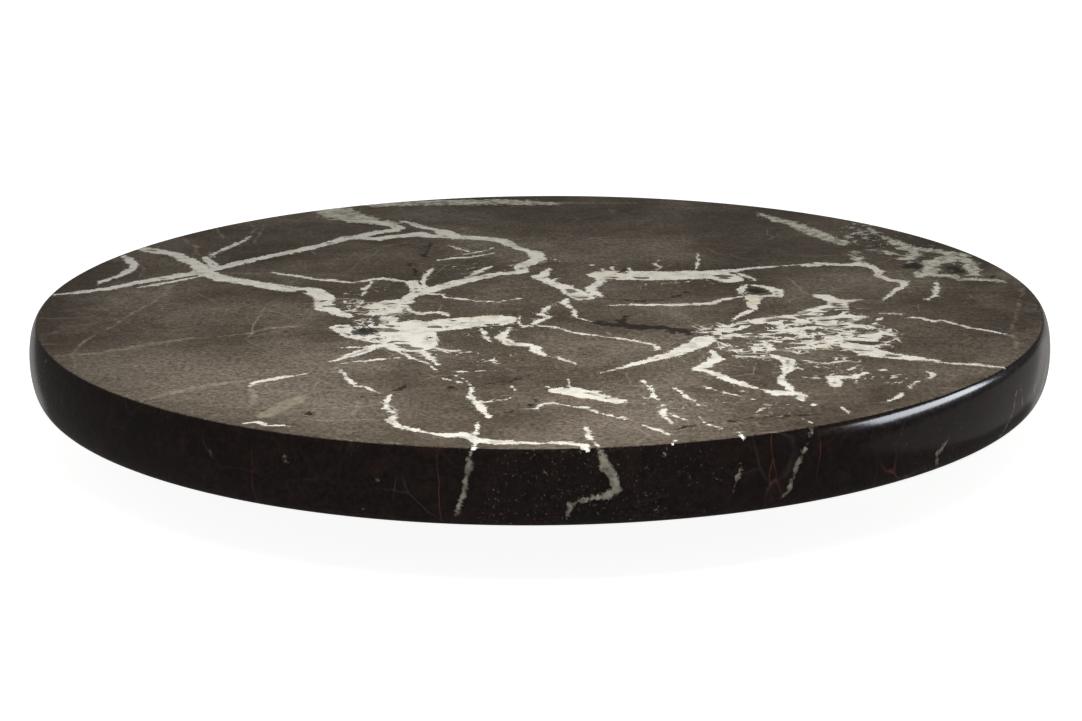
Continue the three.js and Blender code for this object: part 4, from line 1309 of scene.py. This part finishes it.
class SUSAN_OT_feet(bpy.types.Operator):
    """Adds the four rubber feet"""

    bl_idname = "susan.feet"
    bl_label = "Rubber Feet"

    def execute(self, context):
        rubber = material_named("Moulded rubber", moulded_rubber)
        for number in FOUR:
            node = f"rubber_foot_{number}"
            low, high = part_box(node)
            x, y, _ = (low + high) / 2
            rim = (high.x - low.x) / 2
            well, bore, seat = 3.6 * MM, 1.8 * MM, 2.2 * MM
            profile = [(well, 0), (rim - 1.2 * MM, 0), (rim - 0.9 * MM, 0.8 * MM), (rim, 1.4 * MM),
                       (rim, high.z), (bore, high.z), (bore, seat), (well, seat)]
            rounds = {0: 0.3 * MM, 1: 0.35 * MM, 3: 0.5 * MM, 4: 0.3 * MM}
            bm = turned(profile, 72, closed=True, centre=(x, y), rounds=rounds)
            finish_piece(f"foot_{number}", bm, rubber, "base", node)
        return {"FINISHED"}


# ---- Stage ----

CAMERA_PLACE = (0, -0.74511, 0.22842)
CAMERA_LENS = 85.79  # millimetres, on a 36 mm sensor
CAMERA_DIP = math.radians(15.640)
CAMERA_ROLL = math.radians(-0.4326)
CAMERA_TURN = math.radians(-0.0243)


def add_softbox(name, place, aim, width, height, power, tint):
    """A rectangular softbox that points at a place."""
    lamp = bpy.data.lights.new(name, "AREA")
    lamp.shape, lamp.size, lamp.size_y = "RECTANGLE", width, height
    lamp.energy, lamp.color = power, tint
    thing = bpy.data.objects.new(name, lamp)
    thing.location = place
    thing.rotation_euler = (Vector(aim) - Vector(place)).to_track_quat("-Z", "Y").to_euler()
    thing.visible_camera = False
    bpy.context.scene.collection.objects.link(thing)
    return thing


def studio_floor():
    """Matt white sweep paper, lit from below a little so that shadows stay soft and pale."""
    material, tree = blank_material("White sweep paper")
    place = in_mm(tree)
    fibre = add(tree, "TexNoise", {0: place, 2: 1 / 3, 3: 3})
    paper = add(tree, "MapRange", [fibre, 0.3, 0.7, 0.86, 0.9])
    sheet = add(tree, "BsdfDiffuse", {0: paper})
    glow = add(tree, "Emission", {0: (1, 1, 1, 1), 1: 0.92})
    both = add(tree, "AddShader", [sheet, glow])
    finish_material(tree, both)
    return material


def studio_world():
    """A white surround for the eye, with a dim warm glow for reflections and fill."""
    world = bpy.data.worlds.new("Studio")
    world.use_nodes = True
    tree = world.node_tree
    tree.nodes.clear()
    seen = add(tree, "LightPath")
    glossy = add(tree, "LightPath", out=3)
    strength = add(tree, "Mix", [glossy, None, 0.2, 0.09])
    strength = add(tree, "Mix", [seen, None, strength, 1.2])
    sky = add(tree, "Background", {0: (1, 0.97, 0.92, 1), 1: strength})
    out = tree.nodes.new("ShaderNodeOutputWorld")
    tree.links.new(sky, out.inputs["Surface"])
    bpy.context.scene.world = world


class SUSAN_OT_stage(bpy.types.Operator):
    """Adds the pale floor, the lights and the camera"""

    bl_idname = "susan.stage"
    bl_label = "Stage"

    def execute(self, context):
        scene = context.scene
        bm = bmesh.new()
        bmesh.ops.create_grid(bm, x_segments=4, y_segments=4, size=6)
        floor = scratch_object(bm, "floor")
        floor.data.materials.append(studio_floor())
        floor.visible_glossy = False
        studio_world()
        warm, cool, rosy = (1.0, 0.985, 0.96), (0.88, 0.92, 1.0), (1.0, 0.91, 0.92)
        key = add_softbox("key", (0.01, -0.22, 0.29), (0, -0.05, 0.03), 0.25, 0.2, 0.45, warm)
        key.data.spread = math.radians(95)  # a honeycomb grid, so that the light falls off
        key.visible_glossy = False
        middle = (0, 0, 0.03)
        strip = add_softbox("right strip", (0.87, -0.02, 0.34), middle, 0.6, 0.25, 5.5, cool)
        side = add_softbox("right panel", (1.1, 0.35, -0.2), middle, 1.8, 0.5, 0.42, rosy)
        side.data.shape = "ELLIPSE"
        back = add_softbox("back panel", (0.1, 1.5, -0.25), middle, 2.4, 0.7, 1.5, warm)
        for lamp in (strip, side, back):
            lamp.visible_diffuse = False

        camera = bpy.data.objects.new("camera", bpy.data.cameras.new("camera"))
        camera.data.lens, camera.data.sensor_width = CAMERA_LENS, 36
        camera.data.clip_start, camera.data.clip_end = 0.01, 50
        turn = Matrix.Rotation(CAMERA_TURN, 4, "Z")
        dip = Matrix.Rotation(QUARTER_TURN - CAMERA_DIP, 4, "X")
        roll = Matrix.Rotation(CAMERA_ROLL, 4, "Z")
        camera.matrix_world = Matrix.Translation(CAMERA_PLACE) @ turn @ dip @ roll
        scene.collection.objects.link(camera)
        scene.camera = camera
        scene.view_settings.view_transform = "Standard"
        return {"FINISHED"}


OPERATORS = (
    SUSAN_OT_stage,
    SUSAN_OT_marble_top,
    SUSAN_OT_inserts,
    SUSAN_OT_bearing_plates,
    SUSAN_OT_screws,
    SUSAN_OT_ball_cage,
    SUSAN_OT_balls,
    SUSAN_OT_pivot,
    SUSAN_OT_base_disc,
    SUSAN_OT_feet,
)


class SUSAN_PT_panel(bpy.types.Panel):
    """Lists the settings and the pieces of the lazy susan"""

    bl_idname = "SUSAN_PT_panel"
    bl_label = "Lazy Susan"
    bl_space_type = "VIEW_3D"
    bl_region_type = "UI"
    bl_category = "Lazy Susan"

    def draw(self, context):
        for settings in (context.scene.susan_sizes, context.scene.susan_colours):
            for name in settings.__annotations__:
                self.layout.prop(settings, name)
        for operator in OPERATORS:
            self.layout.operator(operator.bl_idname)


CLASSES = (SusanSizes, SusanColours, *OPERATORS, SUSAN_PT_panel)


def register():
    for kind in CLASSES:
        bpy.utils.register_class(kind)
    bpy.types.Scene.susan_sizes = PointerProperty(type=SusanSizes)
    bpy.types.Scene.susan_colours = PointerProperty(type=SusanColours)


def unregister():
    del bpy.types.Scene.susan_colours
    del bpy.types.Scene.susan_sizes
    for kind in reversed(CLASSES):
        bpy.utils.unregister_class(kind)


def main():
    register()
    for operator in OPERATORS:
        group, name = operator.bl_idname.split(".")
        getattr(getattr(bpy.ops, group), name)()


if __name__ == "__main__":
    main()
